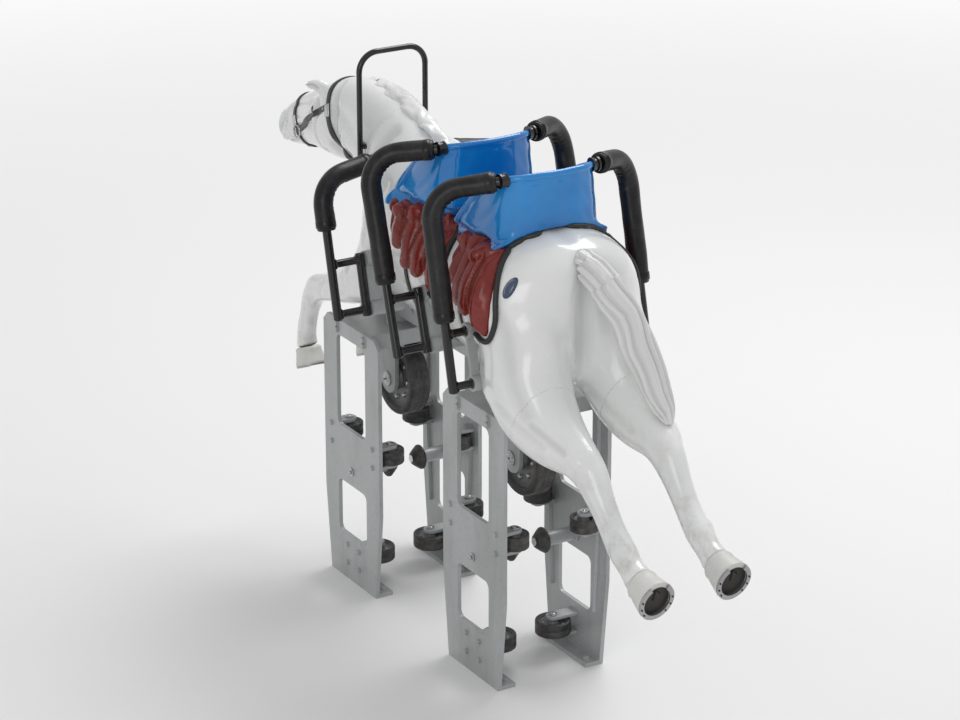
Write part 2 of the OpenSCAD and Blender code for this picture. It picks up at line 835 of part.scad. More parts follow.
chassis_beam();
kingpins();
bogie_side_plates(rear_bogie_x);  // rear_bogie_side_plates
bogie_crosshead(rear_bogie_x);  // rear_bogie_crosshead
bogie_wheel_brackets(rear_bogie_x);  // rear_bogie_wheel_brackets
bogie_axles(rear_bogie_x);  // rear_bogie_axles
bogie_side_plates(front_bogie_x);  // front_bogie_side_plates
bogie_crosshead(front_bogie_x);  // front_bogie_crosshead
bogie_wheel_brackets(front_bogie_x);  // front_bogie_wheel_brackets
bogie_axles(front_bogie_x);  // front_bogie_axles
running_wheel(rear_bogie_x);  // rear_running_wheel
running_wheel(front_bogie_x);  // front_running_wheel
side_wheel(rear_bogie_x, 1, -1);  // rear_left_side_wheel_1
side_wheel(rear_bogie_x, 1, 1);  // rear_left_side_wheel_2
side_wheel(rear_bogie_x, -1, -1);  // rear_right_side_wheel_1
side_wheel(rear_bogie_x, -1, 1);  // rear_right_side_wheel_2
side_wheel(front_bogie_x, 1, -1);  // front_left_side_wheel_1
side_wheel(front_bogie_x, 1, 1);  // front_left_side_wheel_2
side_wheel(front_bogie_x, -1, -1);  // front_right_side_wheel_1
side_wheel(front_bogie_x, -1, 1);  // front_right_side_wheel_2
up_stop_roller(rear_bogie_x, 1);  // rear_left_up_stop_roller
up_stop_roller(rear_bogie_x, -1);  // rear_right_up_stop_roller
up_stop_roller(front_bogie_x, 1);  // front_left_up_stop_roller
up_stop_roller(front_bogie_x, -1);  // front_right_up_stop_roller
low_wheel(rear_bogie_x, 1);  // rear_left_low_wheel
low_wheel(rear_bogie_x, -1);  // rear_right_low_wheel
low_wheel(front_bogie_x, 1);  // front_left_low_wheel
low_wheel(front_bogie_x, -1);  // front_right_low_wheel
horse_body();
horse_head();
forelegs();
hind_legs();
hooves();
tail();
mane();
bridle();
neck_hoop();
seat(seat_xs[0]);  // rear_seat
seat(seat_xs[1]);  // front_seat
saddle_flaps();
guards(GUARDS[0]);  // front_guards
guards(GUARDS[1]);  // middle_guards
guards(GUARDS[2]);  // rear_guards
guard_brackets();
guard_pads();
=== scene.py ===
# A horse-shaped coaster car: a glass-fibre galloping horse with two bucket seats and padded guard
# bars, on a steel beam whose two bogies straddle one rail tube. It is dressed from its mouldings
# outwards, and each section below makes one piece of the car or one group of like pieces.
import math
from collections import namedtuple

import bmesh
import bpy
import numpy as np
from mathutils import Matrix, Vector
from mathutils.bvhtree import BVHTree


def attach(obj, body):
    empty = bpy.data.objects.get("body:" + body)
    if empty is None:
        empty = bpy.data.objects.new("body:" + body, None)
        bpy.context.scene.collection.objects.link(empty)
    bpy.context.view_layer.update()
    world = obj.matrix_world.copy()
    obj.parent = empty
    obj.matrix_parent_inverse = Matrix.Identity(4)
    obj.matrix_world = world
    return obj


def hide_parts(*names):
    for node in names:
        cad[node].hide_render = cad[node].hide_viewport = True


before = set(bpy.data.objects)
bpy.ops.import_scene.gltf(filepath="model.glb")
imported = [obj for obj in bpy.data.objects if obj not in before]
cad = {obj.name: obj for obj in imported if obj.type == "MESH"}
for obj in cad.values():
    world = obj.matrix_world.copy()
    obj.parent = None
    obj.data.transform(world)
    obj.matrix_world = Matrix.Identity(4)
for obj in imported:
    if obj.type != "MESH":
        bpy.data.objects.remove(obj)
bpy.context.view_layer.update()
scene = bpy.context.scene
scene.view_settings.view_transform = "Standard"


# Horse mouldings. The real horse is hollow glass fibre from split moulds: trunk, head and neck, and
# four legs, bonded and gel-coated white. The rough mouldings are joined to one skin, relaxed where
# the limbs run into the trunk, modelled with muscles and creases, and cut again at the joints.
MIDDLE = 1086.6  # station of the car's middle, in mm ahead of the hind hooves' toes


def station(x, y, z):
    """A place in mm, its X counted forward from the hind hooves, as metres in the frame."""
    return Vector(((x - MIDDLE) / 1000, y / 1000, z / 1000))


def side_hit(skin_of, x, side, z):
    """Where a line from the car's side meets a skin, and the skin's normal there."""
    return skin_of.ray_cast(station(x, side * 500, z), Vector((0, -side, 0)))[:2]


def joined_copy(*names):
    """A merged copy of CAD nodes, for a piece that replaces them."""
    bm = bmesh.new()
    for name in names:
        bm.from_mesh(cad[name].data)
    bmesh.ops.remove_doubles(bm, verts=bm.verts, dist=1e-5)
    return bm


def link_piece(name, bm, material=None, body="root", smooth=True):
    """Makes a mesh into an object of the scene that rides on a body."""
    mesh = bpy.data.meshes.new(name)
    bm.to_mesh(mesh)
    bm.free()
    mesh.polygons.foreach_set("use_smooth", [smooth] * len(mesh.polygons))
    piece = bpy.data.objects.new(name, mesh)
    scene.collection.objects.link(piece)
    if material:
        mesh.materials.append(material)
    if body:
        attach(piece, body)
    return piece


def finished_mesh(piece):
    """The piece's mesh with its modifiers applied."""
    bpy.context.view_layer.update()
    made = piece.evaluated_get(bpy.context.evaluated_depsgraph_get())
    return bpy.data.meshes.new_from_object(made)


def one_skin(bm, voxel):
    """Joins a mesh's crossing shells to one closed skin of even facets."""
    blank = link_piece("blank", bm, body=None)
    skin = blank.modifiers.new("skin", "REMESH")
    skin.mode = "VOXEL"
    skin.voxel_size = voxel
    mesh = finished_mesh(blank)
    bpy.data.objects.remove(blank)
    made = bmesh.new()
    made.from_mesh(mesh)
    bpy.data.meshes.remove(mesh)
    return made


def points_of(bm):
    return np.array([v.co for v in bm.verts])


def set_points(bm, points):
    for v, p in zip(bm.verts, points):
        v.co = p
    bm.normal_update()


def relaxed(bm, points, share, rounds):
    """Moves each point a share of the way to the middle of its neighbours, several times."""
    ends = np.array([[v.index for v in e.verts] for e in bm.edges])
    a, b = ends[:, 0], ends[:, 1]
    n = len(points)
    count = np.bincount(a, minlength=n) + np.bincount(b, minlength=n)
    for _ in range(rounds):
        for k in range(3):
            near = np.bincount(a, points[b, k], n) + np.bincount(b, points[a, k], n)
            points[:, k] += share * (near / count - points[:, k])
    return points


def reach_to_path(points, path):
    """Each point's distance from a path."""
    best = np.full(len(points), 9.0)
    for p, q in zip(path[:-1], path[1:]):
        p, q = np.array(p), np.array(q)
        along = q - p
        t = np.clip((points - p) @ along / max(along @ along, 1e-12), 0, 1)
        best = np.minimum(best, np.linalg.norm(points - p - t[:, None] * along, axis=1))
    return best


def smooth_path(path, steps=5):
    """A curve through a path's points, with some steps from point to point."""
    pts = [np.array(p) for p in path]
    out = []
    for i in range(len(pts) - 1):
        a, b, c, d = pts[max(i - 1, 0)], pts[i], pts[i + 1], pts[min(i + 2, len(pts) - 1)]
        for k in range(steps):
            f = k / steps
            cubic = a - 2.5 * b + 2 * c - d / 2 + f * (1.5 * (b - c) + (d - a) / 2)
            out.append(b + f * ((c - a) / 2 + f * cubic))
    return out + [pts[-1]]


def skin_path(tree, path, side, inside=False):
    """A side path of stations and heights laid on a skin, from outside or from the middle plane."""
    found = []
    for x, z in smooth_path(path):
        start = station(x, 0 if inside else side * 600, z)
        hit = tree.ray_cast(start, Vector((0, side if inside else -side, 0)))[0]
        if hit is None:
            hit = tree.find_nearest(station(x, side * 100, z))[0]
        found.append(hit)
    return found


def model_skin(points, normals, shade, path, width, depth, sharp=1.0):
    """Presses a path into the skin, or raises it where depth is negative. Sizes in mm."""
    width, depth = width / 1000, depth / 1000
    lo = np.min(np.array(path), 0) - width
    hi = np.max(np.array(path), 0) + width
    near = np.where(np.all((points > lo) & (points < hi), axis=1))[0]
    if not len(near):
        return
    d = reach_to_path(points[near], path) / width
    fall = np.where(d < 1, (1 - np.minimum(d, 1) ** 2) ** 2, 0) ** sharp
    points[near] -= normals[near] * (depth * fall)[:, None]
    if depth > 0:
        shade[near] = np.maximum(shade[near], fall * min(depth * 1000 / 9, 1))


horse = one_skin(joined_copy("horse_body", "horse_head", "forelegs", "hind_legs"), 0.0057)
skin = points_of(horse)
# The trunk is relaxed most, the thin lower legs, the muzzle and the ears least
x_mm, z_mm = skin[:, 0] * 1000 + MIDDLE, skin[:, 2] * 1000
slim = np.clip((z_mm - 830) / 120, 0, 1) * np.clip((x_mm - 470) / 90, 0, 1)
slim *= np.clip((1980 - x_mm) / 120, 0.15, 1)
slim = np.where((x_mm > 1650) & (z_mm > 1385), 0.12, slim)
ears = (x_mm > 1812) & (x_mm < 1925) & (np.abs(skin[:, 1]) > 0.048) & (z_mm > 1362)
skin = relaxed(horse, skin, np.where(ears, 0.03, 0.08 + 0.5 * slim), 132)
skin = relaxed(horse, skin, 0.5, 3)
set_points(horse, skin)
normals = np.array([v.normal for v in horse.verts])
tree = BVHTree.FromBMesh(horse)
crease = np.zeros(len(skin))
# Muscles and creases seen from the side, as [station, height] paths, then width and depth in mm
SIDE_FORMS = [
    ([(672, 1218), (622, 1132), (566, 1030), (512, 940), (478, 885)], 34, 6.5),
    ([(806, 1172), (748, 1070), (702, 985), (664, 925)], 40, 5.5),
    ([(912, 1140), (888, 1050), (850, 960)], 46, 9),
    ([(716, 915), (676, 905)], 74, -8),
    ([(640, 1120), (600, 1030)], 70, -6),
    ([(566, 885), (498, 850), (425, 815)], 24, 4.5),
    ([(462, 862), (405, 834), (362, 815)], 17, 8),
    ([(350, 825), (326, 800)], 26, -5),
    ([(318, 770), (330, 745)], 20, 3),
    ([(298, 744), (254, 696), (206, 648)], 10, 3.5),
    ([(276, 726), (238, 684)], 8, -1.5),
    ([(158, 624), (150, 606)], 22, -4),
    ([(134, 596), (108, 576)], 15, 2.5),
    ([(818, 1216), (800, 1190)], 56, -6),
    ([(786, 1236), (722, 1192), (694, 1130)], 42, 3.5),
    ([(1326, 1336), (1390, 1230), (1440, 1130)], 28, -4),
    ([(1416, 1366), (1480, 1250), (1522, 1140)], 34, 8),
    ([(1262, 1120), (1316, 1052), (1376, 1006), (1446, 982)], 34, 9),
    ([(1330, 1250), (1384, 1150), (1436, 1060)], 26, 5),
    ([(1392, 1130), (1440, 1068)], 56, -7),
    ([(1556, 1086), (1566, 1016), (1538, 950)], 28, 7),
    ([(1540, 945), (1590, 910)], 40, -4),
    ([(1562, 920), (1652, 876), (1732, 840)], 15, 4),
    ([(1560, 868), (1650, 832)], 16, 3),
    ([(1806, 836), (1836, 820)], 26, -4),
    ([(1792, 782), (1822, 766)], 15, 3),
    ([(1842, 748), (1862, 700), (1878, 652)], 9, 3.2),
    ([(1874, 636), (1878, 618)], 20, -3),
    ([(1770, 1236), (1680, 1206), (1590, 1158), (1510, 1100)], 26, 8),
    ([(1742, 1340), (1650, 1310), (1550, 1250), (1480, 1186)], 32, 4.5),
    ([(1700, 1270), (1600, 1212)], 34, -4),
    ([(1764, 1416), (1746, 1350), (1738, 1280), (1752, 1214)], 20, 6.5),
    ([(1180, 1010), (1164, 930)], 30, 2.5),
    ([(1120, 1000), (1104, 920)], 30, 2.5),
    ([(1060, 1000), (1046, 920)], 30, 2.5),
]
for side in (1, -1):
    for path, width, depth in SIDE_FORMS:
        model_skin(skin, normals, crease, skin_path(tree, path, side), width, depth)
    inner = skin_path(tree, [(560, 880), (480, 840), (410, 812)], side, inside=True)
    model_skin(skin, normals, crease, inner, 22, 4)
# The parting below the dock, the breast's furrow and the loin's hollow, on the middle line
for path, width, depth in (
    ([(560, 1190), (533, 1120), (536, 1040), (572, 965), (620, 930)], 44, 15),
    ([(1576, 1150), (1572, 1070), (1536, 960)], 30, 11),
    ([(1580, 1200), (1600, 1180)], 40, 4),
    ([(760, 1300), (690, 1302), (620, 1284)], 40, 4),
):
    model_skin(skin, normals, crease, [station(x, 0, z) for x, z in smooth_path(path)], width, depth)
skin = relaxed(horse, skin, 0.5, 3)
set_points(horse, skin)
# The pressed depths are kept as the crease attribute, which the white gel coat paints as grey shade in the
# creases
grooves = horse.verts.layers.float.new("crease")
for v, value in zip(horse.verts, crease):
    v[grooves] = value
horse_skin = BVHTree.FromBMesh(horse)


def cut_off(bm, row, pitch):
    """Parts a moulding from the skin at a joint's plane and closes both."""
    way = Vector((math.cos(math.radians(pitch)), 0, math.sin(math.radians(pitch))))
    made = []
    for keep_front in (True, False):
        part = bm.copy()
        geom = part.verts[:] + part.edges[:] + part.faces[:]
        cut = bmesh.ops.bisect_plane(part, geom=geom, dist=1e-6, plane_co=station(*row), plane_no=way,
                                     clear_inner=keep_front, clear_outer=not keep_front)
        rim = [e for e in cut["geom_cut"] if isinstance(e, bmesh.types.BMEdge)]
        caps = bmesh.ops.holes_fill(part, edges=rim, sides=0)["faces"]
        for face in caps:
            face.material_index = 1
        made.append(part)
    bm.free()
    return made


NECK_SEAM, NECK_PITCH = (1530, 0, 1268), 24
head, rest = cut_off(horse, NECK_SEAM, NECK_PITCH)
forelegs, rest = cut_off(rest, (1560, 110, 897), -28)
hind_legs, trunk = cut_off(rest, (516, 137, 848), 205)
# The head is modelled finer than the rest: eye sockets, brow, jaw, nostrils and mouth
behind_jaw = station(1752, 0, 0).x
fine_edges = [e for e in head.edges if not e.is_boundary and all(f.material_index == 0 for f in e.link_faces)
              and all(v.co.x > behind_jaw for v in e.verts)]
bmesh.ops.subdivide_edges(head, edges=fine_edges, cuts=1, use_grid_fill=True, smooth=0)
bmesh.ops.triangulate(head, faces=[f for f in head.faces if len(f.verts) > 4 and f.material_index == 0])
grooves = head.verts.layers.float.get("crease")
face = points_of(head)
seam = Vector((math.cos(math.radians(NECK_PITCH)), 0, math.sin(math.radians(NECK_PITCH))))
from_seam = (face - np.array(station(*NECK_SEAM))) @ np.array(seam)
loose = np.clip((from_seam - 0.003) / 0.03, 0, 1)
face = relaxed(head, face, 0.5 * loose, 4)
set_points(head, face)
normals = np.array([v.normal for v in head.verts])
crease = np.array([v[grooves] for v in head.verts])
head_tree = BVHTree.FromBMesh(head)
HEAD_FORMS = [
    ([(1808, 1246)], 60, -9),
    ([(1812, 1332), (1852, 1300), (1872, 1250), (1864, 1200), (1834, 1164)], 13, 5.5),
    ([(1908, 1276), (1950, 1262), (2004, 1244)], 13, -4.5),
    ([(1912, 1250), (1965, 1236), (2020, 1218)], 18, 4.5),
    ([(1930, 1322), (2000, 1298), (2074, 1266)], 13, 2.5),
    ([(1856, 1344), (1846, 1326)], 20, 5),
    ([(1890, 1308)], 27, 10),
    ([(1860, 1310), (1870, 1330), (1890, 1338), (1913, 1330), (1926, 1316)], 11, -7),
    ([(1866, 1294), (1890, 1284), (1916, 1294)], 8, -3),
    ([(1870, 1274), (1894, 1268), (1920, 1276)], 7, 2),
    ([(2118, 1214), (2128, 1194)], 12, 15),
    ([(2098, 1222), (2110, 1242), (2132, 1229), (2142, 1202), (2131, 1180)], 9, -6),
    ([(2088, 1218), (2096, 1196)], 12, 4),
    ([(2156, 1160), (2126, 1152), (2088, 1158), (2052, 1168), (2030, 1182)], 6.5, 9),
    ([(2150, 1146), (2120, 1136), (2080, 1142)], 9, -3),
    ([(2146, 1176), (2112, 1170), (2070, 1176)], 10, -2.5),
    ([(2106, 1122), (2092, 1116)], 18, -6),
    ([(2048, 1140), (2016, 1150)], 14, 3.5),
    ([(1990, 1166), (1930, 1176), (1880, 1172)], 14, 4.5),
    ([(1846, 1384), (1868, 1390), (1890, 1386)], 9, 9),
    ([(1700, 1300), (1730, 1262), (1742, 1226)], 10, 3),
    ([(1686, 1270), (1712, 1232), (1722, 1200)], 10, 3),
]
for side in (1, -1):
    for path, width, depth in HEAD_FORMS:
        route = skin_path(head_tree, path, side)
        model_skin(face, normals, crease, route, width, depth, 1.0 if width > 9 else 0.7)
model_skin(face, normals, crease, [station(2170, -60, 1160), station(2170, 60, 1160)], 12, 6)
eye_spots = [side_hit(head_tree, 1890, side, 1308)[0] for side in (1, -1)]
face = relaxed(head, face, 0.4 * loose, 1)
set_points(head, face)
# The head's pressed depths go to the same crease attribute, painted as grey shade by the gel coat
for v, value in zip(head.verts, crease):
    v[grooves] = value
head_skin = BVHTree.FromBMesh(head)


def mixed(nodes, links, low, high, share):
    mix = nodes.new("ShaderNodeMix")
    mix.data_type = "RGBA"
    for socket, value in (("A", low), ("B", high), ("Factor", share)):
        target = next(s for s in mix.inputs if s.name == socket and s.enabled)
        if isinstance(value, bpy.types.NodeSocket):
            links.new(value, target)
        else:
            target.default_value = value
    return next(s for s in mix.outputs if s.enabled)


def noise(nodes, links, place, scale, detail=3.0, rough=0.5):
    made = nodes.new("ShaderNodeTexNoise")
    made.inputs["Scale"].default_value = scale
    made.inputs["Detail"].default_value = detail
    made.inputs["Roughness"].default_value = rough
    links.new(place, made.inputs["Vector"])
    return made.outputs["Fac"]


def ranged(nodes, links, value, low, high, to_low=0.0, to_high=1.0):
    made = nodes.new("ShaderNodeMapRange")
    links.new(value, made.inputs["Value"])
    for name, number in (("From Min", low), ("From Max", high), ("To Min", to_low), ("To Max", to_high)):
        made.inputs[name].default_value = number
    return made.outputs["Result"]


def calculated(nodes, links, operation, a, b):
    made = nodes.new("ShaderNodeMath")
    made.operation = operation
    for socket, value in zip(made.inputs, (a, b)):
        if isinstance(value, bpy.types.NodeSocket):
            links.new(value, socket)
        else:
            socket.default_value = value
    return made.outputs[0]


def new_group(name, inputs, outputs):
    """An effect shared by several finishes: a node group with named sockets."""
    group = bpy.data.node_groups.new(name, "ShaderNodeTree")
    for kind, sockets in (("INPUT", inputs), ("OUTPUT", outputs)):
        for label, sort, value in sockets:
            made = group.interface.new_socket(label, in_out=kind, socket_type=sort)
            if value is not None:
                made.default_value = value
    return group, group.nodes.new("NodeGroupInput").outputs, group.nodes.new("NodeGroupOutput").inputs


# Weathering of a moulded or painted surface: streaks of grime, worn gloss and fine ripple, and creases marked
# by an attribute mixed towards the grime colour, which on the white mouldings is painted shade
weathering, given, result = new_group(
    "outdoor weathering",
    [("Place", "NodeSocketVector", None), ("Colour", "NodeSocketColor", None),
     ("Grime and Shade Colour", "NodeSocketColor", None), ("Grime", "NodeSocketFloat", 0.2),
     ("Crease", "NodeSocketFloat", 0.0), ("Gloss", "NodeSocketFloat", 0.2)],
    [("Colour", "NodeSocketColor", None), ("Roughness", "NodeSocketFloat", None),
     ("Height", "NodeSocketFloat", None)])
n, l = weathering.nodes, weathering.links
streak = n.new("ShaderNodeMapping")
streak.inputs["Scale"].default_value = (1.0, 1.0, 0.22)
l.new(given["Place"], streak.inputs["Vector"])
blotch = ranged(n, l, noise(n, l, streak.outputs["Vector"], 9.0, 5.0, 0.6), 0.45, 0.75)
speck = ranged(n, l, noise(n, l, given["Place"], 70.0, 3.0, 0.7), 0.55, 0.8)
grime_and_shade = calculated(n, l, "ADD", calculated(n, l, "MULTIPLY", blotch, 0.6),
                  calculated(n, l, "MULTIPLY", speck, 0.4))
grime_and_shade = calculated(n, l, "MULTIPLY", grime_and_shade, given["Grime"])
# Painted shade: the marked creases are also mixed towards the grime colour, which darkens the creases of the
# white mouldings
grime_and_shade = calculated(n, l, "ADD", grime_and_shade, calculated(n, l, "MULTIPLY", given["Crease"], 0.35))
grime_and_shade = calculated(n, l, "MINIMUM", grime_and_shade, 1.0)
l.new(mixed(n, l, given["Colour"], given["Grime and Shade Colour"], grime_and_shade), result["Colour"])
rough = calculated(n, l, "ADD", given["Gloss"], calculated(n, l, "MULTIPLY", grime_and_shade, 0.35))
worn = ranged(n, l, noise(n, l, given["Place"], 26.0, 4.0), 0.3, 0.7, -0.03, 0.05)
rough = calculated(n, l, "ADD", rough, worn)
l.new(rough, result["Roughness"])
ripple = noise(n, l, given["Place"], 160.0, 2.0)
l.new(calculated(n, l, "ADD", ripple, calculated(n, l, "MULTIPLY", grime_and_shade, 0.5)), result["Height"])


def new_finish(name):
    material = bpy.data.materials.new(name)
    material.use_nodes = True
    nodes, links = material.node_tree.nodes, material.node_tree.links
    shader = nodes["Principled BSDF"]
    place = nodes.new("ShaderNodeTexCoord").outputs["Object"]
    return material, nodes, links, shader, place


def add_bump(nodes, links, shader, height, strength, distance):
    bump = nodes.new("ShaderNodeBump")
    bump.inputs["Strength"].default_value = strength
    bump.inputs["Distance"].default_value = distance
    links.new(height, bump.inputs["Height"])
    links.new(bump.outputs["Normal"], shader.inputs["Normal"])


def weathered(name, colour, grime_and_shade_colour, grime, gloss, ripple, crease=None, metallic=0.0, coat=0.0,
              coat_rough=0.08, specular=0.5):
    """A moulded or painted finish; colour may be a function that builds its own pattern, and a named crease
    attribute mixes marked creases towards the grime colour, painted shade on the white mouldings.
    """
    material, nodes, links, shader, place = new_finish(name)
    group = nodes.new("ShaderNodeGroup")
    group.node_tree = weathering
    links.new(place, group.inputs["Place"])
    if callable(colour):
        links.new(colour(nodes, links, place), group.inputs["Colour"])
    else:
        tint = mixed(nodes, links, (*colour, 1), tuple(c * 0.88 for c in colour) + (1,),
                     ranged(nodes, links, noise(nodes, links, place, 3.2), 0.35, 0.7))
        links.new(tint, group.inputs["Colour"])
    group.inputs["Grime and Shade Colour"].default_value = (*grime_and_shade_colour, 1)
    group.inputs["Grime"].default_value = grime
    group.inputs["Gloss"].default_value = gloss
    # The crease attribute mixes marked creases towards the grime colour: on the white mouldings this is
    # painted shade with a little dirt
    if crease:
        pressed = nodes.new("ShaderNodeAttribute")
        pressed.attribute_name = crease
        links.new(pressed.outputs["Fac"], group.inputs["Crease"])
    links.new(group.outputs["Colour"], shader.inputs["Base Color"])
    links.new(group.outputs["Roughness"], shader.inputs["Roughness"])
    add_bump(nodes, links, shader, group.outputs["Height"], ripple, 0.0006)
    shader.inputs["Metallic"].default_value = metallic
    shader.inputs["Specular IOR Level"].default_value = specular
    shader.inputs["Coat Weight"].default_value = coat
    shader.inputs["Coat Roughness"].default_value = coat_rough
    return material


def gel_coat_colour(nodes, links, place):
    """White gel coat, a little greyer in patches and brownish low on the legs."""
    split = nodes.new("ShaderNodeSeparateXYZ")
    links.new(place, split.inputs["Vector"])
    low = ranged(nodes, links, split.outputs["Z"], 0.86, 0.52)
    splash = ranged(nodes, links, noise(nodes, links, place, 22.0, 6.0, 0.65), 0.46, 0.66)
    low = calculated(nodes, links, "MULTIPLY", calculated(nodes, links, "MULTIPLY", low, splash), 0.55)
    white = mixed(nodes, links, (0.80, 0.81, 0.80, 1), (0.72, 0.735, 0.73, 1),
                  ranged(nodes, links, noise(nodes, links, place, 4.0, 4.0), 0.4, 0.68))
    return mixed(nodes, links, white, (0.36, 0.33, 0.28, 1), low)


# The creases marked on the horse are painted grey: painted shade with a little dirt, besides the grime in
# streaks
gel_coat = weathered("white gel coat", gel_coat_colour, (0.34, 0.35, 0.34), 0.10, 0.22, 0.10,
                     crease="crease", coat=0.55)
for name, moulding, node in (("trunk_moulding", trunk, "horse_body"), ("head_moulding", head, "horse_head"),
                             ("foreleg_mouldings", forelegs, "forelegs"),
                             ("hind_leg_mouldings", hind_legs, "hind_legs")):
    piece = link_piece(name, moulding, gel_coat)
    piece.data.materials.append(gel_coat)
    skin_faces = [p.material_index == 0 for p in piece.data.polygons]
    piece.data.polygons.foreach_set("use_smooth", skin_faces)
    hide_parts(node)


# Eyes. Dark glass eyes are set in the sockets from outside, between an upper and a lower lid that
# are part of the head's gel coat.
def paint_faces(verts, material):
    for f in {f for v in verts for f in v.link_faces}:
        f.material_index = material


def add_ball(bm, centre, radius, sides=40, rings=24, material=0):
    made = bmesh.ops.create_uvsphere(bm, u_segments=sides, v_segments=rings, radius=radius)
    bmesh.ops.translate(bm, verts=made["verts"], vec=centre)
    paint_faces(made["verts"], material)
    return made["verts"]


def pour(part, bm):
    """Adds a finished part's mesh to another mesh, and frees the part."""
    mesh = bpy.data.meshes.new("part")
    part.to_mesh(mesh)
    part.free()
    bm.from_mesh(mesh)
    bpy.data.meshes.remove(mesh)


glass_eye, nodes, links, shader, place = new_finish("dark glass eye")
links.new(mixed(nodes, links, (0.006, 0.004, 0.003, 1), (0.05, 0.022, 0.009, 1),
                ranged(nodes, links, noise(nodes, links, place, 300.0, 4.0), 0.45, 0.7)),
          shader.inputs["Base Color"])
links.new(ranged(nodes, links, noise(nodes, links, place, 40.0), 0.3, 0.7, 0.03, 0.10),
          shader.inputs["Roughness"])
shader.inputs["Coat Weight"].default_value = 1.0
shader.inputs["Coat Roughness"].default_value = 0.03
for side, label, spot in zip((1, -1), ("left_eye", "right_eye"), eye_spots):
    centre = spot - Vector((0, side * 0.0165, 0))
    bm = bmesh.new()
    add_ball(bm, centre, 0.0175)
    cornea = add_ball(bm, Vector(), 0.011, 24, 16)
    bmesh.ops.scale(bm, verts=cornea, vec=(1, 0.5, 1))
    bmesh.ops.translate(bm, verts=cornea, vec=centre + Vector((0.001, side * 0.0135, -0.001)))
    for above in (True, False):
        lid = bmesh.new()
        add_ball(lid, Vector(), 0.0187)
        way = Vector((-0.16, side * (-0.30 if above else 0.42), 1))
        bmesh.ops.bisect_plane(lid, geom=lid.verts[:] + lid.edges[:] + lid.faces[:],
                               plane_co=(0, 0, 0.0072 if above else -0.0108), plane_no=way,
                               clear_inner=above, clear_outer=not above)
        bmesh.ops.solidify(lid, geom=lid.faces[:], thickness=0.0012)
        bmesh.ops.translate(lid, verts=lid.verts, vec=centre)
        paint_faces(lid.verts, 1)
        pour(lid, bm)
    eye = link_piece(label, bm, glass_eye)
    eye.data.materials.append(gel_coat)


# Hooves. The hooves are moulded with the legs and painted pale grey. Each carries a bright steel
# shoe, open at the heel and held by nails, round a dark sole with its frog.
def turned_to(place, way, toe):
    """Frame with its Z along a limb's axis and its X towards the toe."""
    z = Vector(way).normalized()
    x = (Vector(toe) - z * z.dot(Vector(toe))).normalized()
    return Matrix.Translation(place) @ Matrix((x, z.cross(x), z)).transposed().to_4x4()


def egg_ring(verts, toe, heel, wide):
    """Draws a round ring out to the toe, back to the heel and to the sides."""
    for v in verts:
        v.co.x *= toe if v.co.x > 0 else heel
        v.co.y *= wide


HOOF_RINGS = [
    # height above the sole end, reach to the toe, to the heel, and half width
    (0.080, 0.038, 0.038, 0.035), (0.0765, 0.0445, 0.0435, 0.0405), (0.070, 0.0470, 0.0455, 0.0430),
    (0.062, 0.0462, 0.0445, 0.0420), (0.040, 0.0515, 0.0490, 0.0460), (0.018, 0.0560, 0.0540, 0.0495),
    (0.009, 0.0575, 0.0565, 0.0510), (0.0075, 0.0560, 0.055, 0.0495),
]
hoof_paint = weathered("painted hoof", (0.66, 0.655, 0.63), (0.20, 0.18, 0.16), 0.4, 0.42, 0.5)
sole_black = weathered("dark sole", (0.022, 0.020, 0.019), (0.10, 0.09, 0.08), 0.5, 0.65, 0.6)
shoe_steel = weathered("worn shoe steel", (0.42, 0.42, 0.43), (0.12, 0.08, 0.06), 0.5, 0.35, 0.4,
                       metallic=0.9)
bm = bmesh.new()
HOOVES = [
    # coronet, sole end, direction of the toe
    ((80, 116, 553), (6, 116, 531), (0.225, 0, -0.974)),
    ((1888, 100, 590), (1868, 100, 541), (0.914, 0, 0.407)),
]
